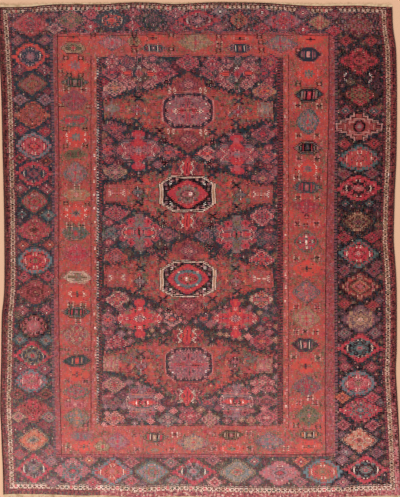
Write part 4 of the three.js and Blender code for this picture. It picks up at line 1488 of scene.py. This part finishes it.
# %% Dark binding wool
# Overcast wool yarn: matt, with loose fibres, drawn 1.4 mm apart, and a faint bloom at low angles.
binding_wool, tree, where = new_material("dark_overcast_wool")
yarn = add(tree, NOISE, {"Vector": where, "Scale": 700.0, "Detail": 3.0}).outputs["Fac"]
dark = wool_noise(tree, where, ["#2e191a", "#4a2524", "#5b332f", "#3a2022"], 34.0)
end_material(binding_wool, dark, yarn, 0.5, 0.0006, {
    "Roughness": 0.9, "Specular IOR Level": 0.2, "Sheen Weight": 0.08,
})

# %% The whipping tree
CORE_RADIUS = 0.0018

whip, given = new_tree("overcast_side", {
    "Stitch pitch": "Float", "Yarn radius": "Float", "Half width": "Float", "Half height": "Float",
    "Slant": "Float", "Material": "Material",
})
as_curve = add(whip, "GeometryNodeMeshToCurve", [given["Geometry"]]).outputs[0]
steps = add(whip, "GeometryNodeResampleCurve", {"Curve": as_curve, "Length": given["Stitch pitch"]},
            mode="LENGTH").outputs[0]
loop = add(whip, "GeometryNodeCurvePrimitiveCircle", {"Resolution": 12, "Radius": 1.0}).outputs[0]
half_sizes = {"X": given["Half width"], "Y": given["Half height"], "Z": 1.0}
ring_size = add(whip, "ShaderNodeCombineXYZ", half_sizes).outputs[0]
loop = add(whip, "GeometryNodeTransform", {"Geometry": loop, "Scale": ring_size}).outputs[0]
thread = add(whip, "GeometryNodeCurvePrimitiveCircle", {"Resolution": 5, "Radius": given["Yarn radius"]})
one_turn = add(whip, "GeometryNodeCurveToMesh", {
    "Curve": loop, "Profile Curve": thread.outputs[0],
}).outputs[0]

# each ring looks along the side, stands upright, and then leans by the slant and a little chance
tangent = add(whip, "GeometryNodeInputTangent").outputs[0]
facing = add(whip, "FunctionNodeAlignRotationToVector", {"Vector": tangent}, axis="Z").outputs[0]
upright = add(whip, "FunctionNodeAlignRotationToVector", {"Rotation": facing, "Vector": (0, 0, 1)},
              axis="Y", pivot_axis="Z").outputs[0]
chance = add(whip, "FunctionNodeRandomValue", {2: -0.12, 3: 0.12, "Seed": 3}, data_type="FLOAT").outputs[1]
lean = add(whip, MATH, [chance, given["Slant"]], operation="ADD").outputs[0]
lean_turn = add(whip, "FunctionNodeAxisAngleToRotation", {"Axis": (0, 1, 0), "Angle": lean}).outputs[0]
turned = add(whip, "FunctionNodeRotateRotation", {"Rotation": upright, "Rotate By": lean_turn},
             rotation_space="LOCAL").outputs[0]
spread = add(whip, "FunctionNodeRandomValue", {2: 0.92, 3: 1.06, "Seed": 8}, data_type="FLOAT").outputs[1]
turns = add(whip, "GeometryNodeInstanceOnPoints", {
    "Points": steps, "Instance": one_turn, "Rotation": turned, "Scale": spread,
}).outputs[0]
core = add(whip, "GeometryNodeCurvePrimitiveCircle", {"Resolution": 6, "Radius": CORE_RADIUS}).outputs[0]
core = add(whip, "GeometryNodeCurveToMesh", {"Curve": as_curve, "Profile Curve": core, "Fill Caps": True})
finish_tree(whip, [turns, core.outputs[0]], given["Material"])
print("whipping nodes", len(whip.nodes))

# %% Whip both sides
CORD_HEIGHT = 0.0055
YARN = 0.0012
WHIP_PITCH = 0.0031
WHIP_SLANT = 0.35

bindings = []
for sign, side, name in ((-1, left_line, "overcast_left"), (1, right_line, "overcast_right")):
    middle = SEAM + CORD_WIDTH / 2
    guide = np.column_stack([side[:, 0] + sign * middle, side[:, 1], np.full(len(side), CORD_HEIGHT / 2)])
    bindings.append(grown_on(name, guide, whip, {
        "Stitch pitch": WHIP_PITCH, "Yarn radius": YARN, "Half width": CORD_WIDTH / 2 - YARN,
        "Half height": CORD_HEIGHT / 2 - YARN, "Slant": WHIP_SLANT, "Material": binding_wool,
    }))

# %% [markdown]
# ## The undyed ends
#
# At both ends the weaver left a narrow strip of plain weave in undyed yarn,
# and the warps stick out of it as a short worn fringe. The strip's outer edge
# is nearly straight, so where the cloth bows out only a little of it is left.
# The strip is a low ribbed band; the warp ends are bent strings, one every
# 4.6 mm, and their length is what the straight edge leaves.

# %% Undyed warp yarn
# Plied undyed yarn: smoother than the wrapped wool, with ribs where the threads lie side by side.
# A Wave texture's bands lie pi / (10 * scale) apart, and fibres are drawn 1.7 mm long to show.
THREAD_PITCH = 0.0017593

warp, tree, where = new_material("undyed_warp_yarn")
ribs = add(tree, "ShaderNodeTexWave", {
    "Vector": where, "Scale": math.pi / (10 * THREAD_PITCH), "Distortion": 1.2,
    "Detail": 2.0, "Detail Scale": 2.0,
}, bands_direction="X")
fuzz = add(tree, NOISE, {"Vector": where, "Scale": 600.0, "Detail": 3.0}).outputs["Fac"]
relief = add(tree, MATH, [fuzz, 0.6, ribs.outputs["Fac"]], operation="MULTIPLY_ADD").outputs[0]
pale = wool_noise(tree, where, ["#a3835f", "#c8a883", "#d9bd98", "#b79674"], 22.0, 6.0)
end_material(warp, pale, relief, 0.5, 0.0008, {
    "Roughness": 0.88, "Specular IOR Level": 0.22, "Sheen Weight": 0.05,
})

# %% The fringe tree
fringe, given = new_tree("warp_ends", {
    "Spacing": "Float", "Yarn radius": "Float", "Straight edge": "Float", "Least": "Float",
    "Outwards": "Float", "Material": "Material",
})
as_curve = add(fringe, "GeometryNodeMeshToCurve", [given["Geometry"]]).outputs[0]
steps = add(fringe, "GeometryNodeResampleCurve", {"Curve": as_curve, "Length": given["Spacing"]},
            mode="LENGTH").outputs[0]
here = add(fringe, "GeometryNodeInputPosition").outputs[0]
out = add(fringe, MATH, [add(fringe, "ShaderNodeSeparateXYZ", [here]).outputs["Y"]], operation="ABSOLUTE")
left_over = add(fringe, MATH, [given["Straight edge"], out.outputs[0]], operation="SUBTRACT").outputs[0]
left_over = add(fringe, MATH, [left_over, given["Least"]], operation="MAXIMUM").outputs[0]
worn = add(fringe, "FunctionNodeRandomValue", {2: 0.55, 3: 1.0, "Seed": 5}, data_type="FLOAT").outputs[1]
length = add(fringe, MATH, [left_over, worn], operation="MULTIPLY").outputs[0]
# one string is drawn 1 m long and scaled where it is set, and gets its thickness only after that
string = add(fringe, "GeometryNodeCurveQuadraticBezier", {
    "Resolution": 4, "Start": (0, 0, 0), "Middle": (0.09, 0.5, 0.02), "End": (-0.03, 1, -0.02),
}).outputs[0]
turn = add(fringe, "FunctionNodeRandomValue", {2: -0.4, 3: 0.4, "Seed": 11}, data_type="FLOAT").outputs[1]
turn = add(fringe, MATH, [turn, given["Outwards"]], operation="ADD").outputs[0]
rotation = add(fringe, "ShaderNodeCombineXYZ", {"Z": turn}).outputs[0]
strings = add(fringe, "GeometryNodeInstanceOnPoints", {
    "Points": steps, "Instance": string, "Rotation": rotation, "Scale": length,
}).outputs[0]
strings = add(fringe, "GeometryNodeRealizeInstances", [strings]).outputs[0]
section = add(fringe, "GeometryNodeCurvePrimitiveCircle", {"Resolution": 6, "Radius": given["Yarn radius"]})
yarns = add(fringe, "GeometryNodeCurveToMesh", {
    "Curve": strings, "Profile Curve": section.outputs[0], "Fill Caps": True,
}).outputs[0]
finish_tree(fringe, [yarns], given["Material"])
print("fringe nodes", len(fringe.nodes))

# %% The strip of plain weave
STRAIGHT_EDGE = 1.532
MID_SHIFT = -0.0011
LEAST_DEPTH = 0.006
STRIP_SHARE = 0.45
STRIP_TOP = 0.0019
STRIP_BEVEL = 0.0008
STRIP_POINTS = 500


def plain_weave(name, sign, end):
    """A low ribbed band along one end, from four lines of points, closed all round."""
    across = np.linspace(end[0, 0] - CORD_WIDTH - SEAM, end[-1, 0] + CORD_WIDTH + SEAM, STRIP_POINTS)
    edge = end_at(end, across)
    depth = np.maximum(STRAIGHT_EDGE + sign * MID_SHIFT - np.abs(edge), LEAST_DEPTH)
    waves = 1 + 0.12 * np.sin(across * 61) + 0.1 * np.sin(across * 143 + 1)
    inner = edge + sign * SEAM
    outer = edge + sign * (SEAM + STRIP_SHARE * depth * waves)
    section = [(inner, 0.0), (inner, STRIP_TOP), (outer - sign * STRIP_BEVEL, STRIP_TOP), (outer, 0.0)]
    lines = np.stack([np.stack([across, y_line, np.full(STRIP_POINTS, z)], -1) for y_line, z in section])
    number = np.arange(4 * STRIP_POINTS).reshape(4, STRIP_POINTS)
    strip_faces = []
    for a, b in zip(number, np.roll(number, -1, 0)):
        strip_faces += np.stack([a[:-1], a[1:], b[1:], b[:-1]], -1).tolist()
    strip_faces += [number[:, 0].tolist(), number[::-1, -1].tolist()]
    mesh = bpy.data.meshes.new(name)
    mesh.from_pydata(lines.reshape(-1, 3).tolist(), [], strip_faces)
    mesh.materials.append(warp)
    outwards = bmesh.new()
    outwards.from_mesh(mesh)
    bmesh.ops.recalc_face_normals(outwards, faces=outwards.faces)
    outwards.to_mesh(mesh)
    outwards.free()
    return new_object(name, mesh), across, inner


# %% Both ends: the strip and its warp ends
WARP_SPACING = 0.0046
WARP_RADIUS = 0.0008
WARP_HEIGHT = 0.0017
WARP_START = 0.001
BARE_POINTS = 3

ends = []
for sign, end, name in ((1, top_line, "top"), (-1, bottom_line, "bottom")):
    strip, across, inner = plain_weave(f"plain_weave_{name}", sign, end)
    guide = np.column_stack([across, inner + sign * WARP_START, np.full(STRIP_POINTS, WARP_HEIGHT)])
    strings = grown_on(f"warp_ends_{name}", guide[BARE_POINTS:-BARE_POINTS], fringe, {
        "Spacing": WARP_SPACING, "Yarn radius": WARP_RADIUS,
        "Straight edge": STRAIGHT_EDGE + sign * MID_SHIFT, "Least": LEAST_DEPTH,
        "Outwards": 0.0 if sign > 0 else math.pi, "Material": warp,
    })
    ends.append((strip, strings, f"end_strip_{name}"))

# %% [markdown]
# ## Floor
#
# The rug lies on a plain pale floor, a little warm, which isn't part of it. It
# is drawn just under the rug's lowest point, so that the two never cross.

# %% The floor
# Smooth plaster: matt and even, with soft swells about half a metre long.
FLOOR_REACH = 9.0
FLOOR_GAP = 0.0004

plaster, tree, where = new_material("pale_plaster_floor")
grain = add(tree, NOISE, {"Vector": where, "Scale": 2.2, "Detail": 4.0}).outputs["Fac"]
end_material(plaster, (*linear("#d6a888"), 1), grain, 0.1, 0.002, {"Roughness": 0.8})

floor_mesh = bpy.data.meshes.new("floor")
corners = [(x * FLOOR_REACH, y * FLOOR_REACH, 0) for x, y in ((-1, -1), (1, -1), (1, 1), (-1, 1))]
floor_mesh.from_pydata(corners, [], [(0, 1, 2, 3)])
floor_mesh.materials.append(plaster)
floor = new_object("floor", floor_mesh)
floor.location.z = -FLOOR_GAP
print("floor", 2 * FLOOR_REACH, "m wide")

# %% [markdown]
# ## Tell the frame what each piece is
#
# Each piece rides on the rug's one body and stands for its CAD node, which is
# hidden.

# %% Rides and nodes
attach(cloth, "root")
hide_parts("rug_cloth")
for binding, side in zip(bindings, ("left", "right")):
    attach(binding, "root")
    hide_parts(f"binding_{side}")
with_cloth = list(bindings)
for strip, strings, node in ends:
    for piece in (strip, strings):
        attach(piece, "root")
        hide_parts(node)
        with_cloth.append(piece)
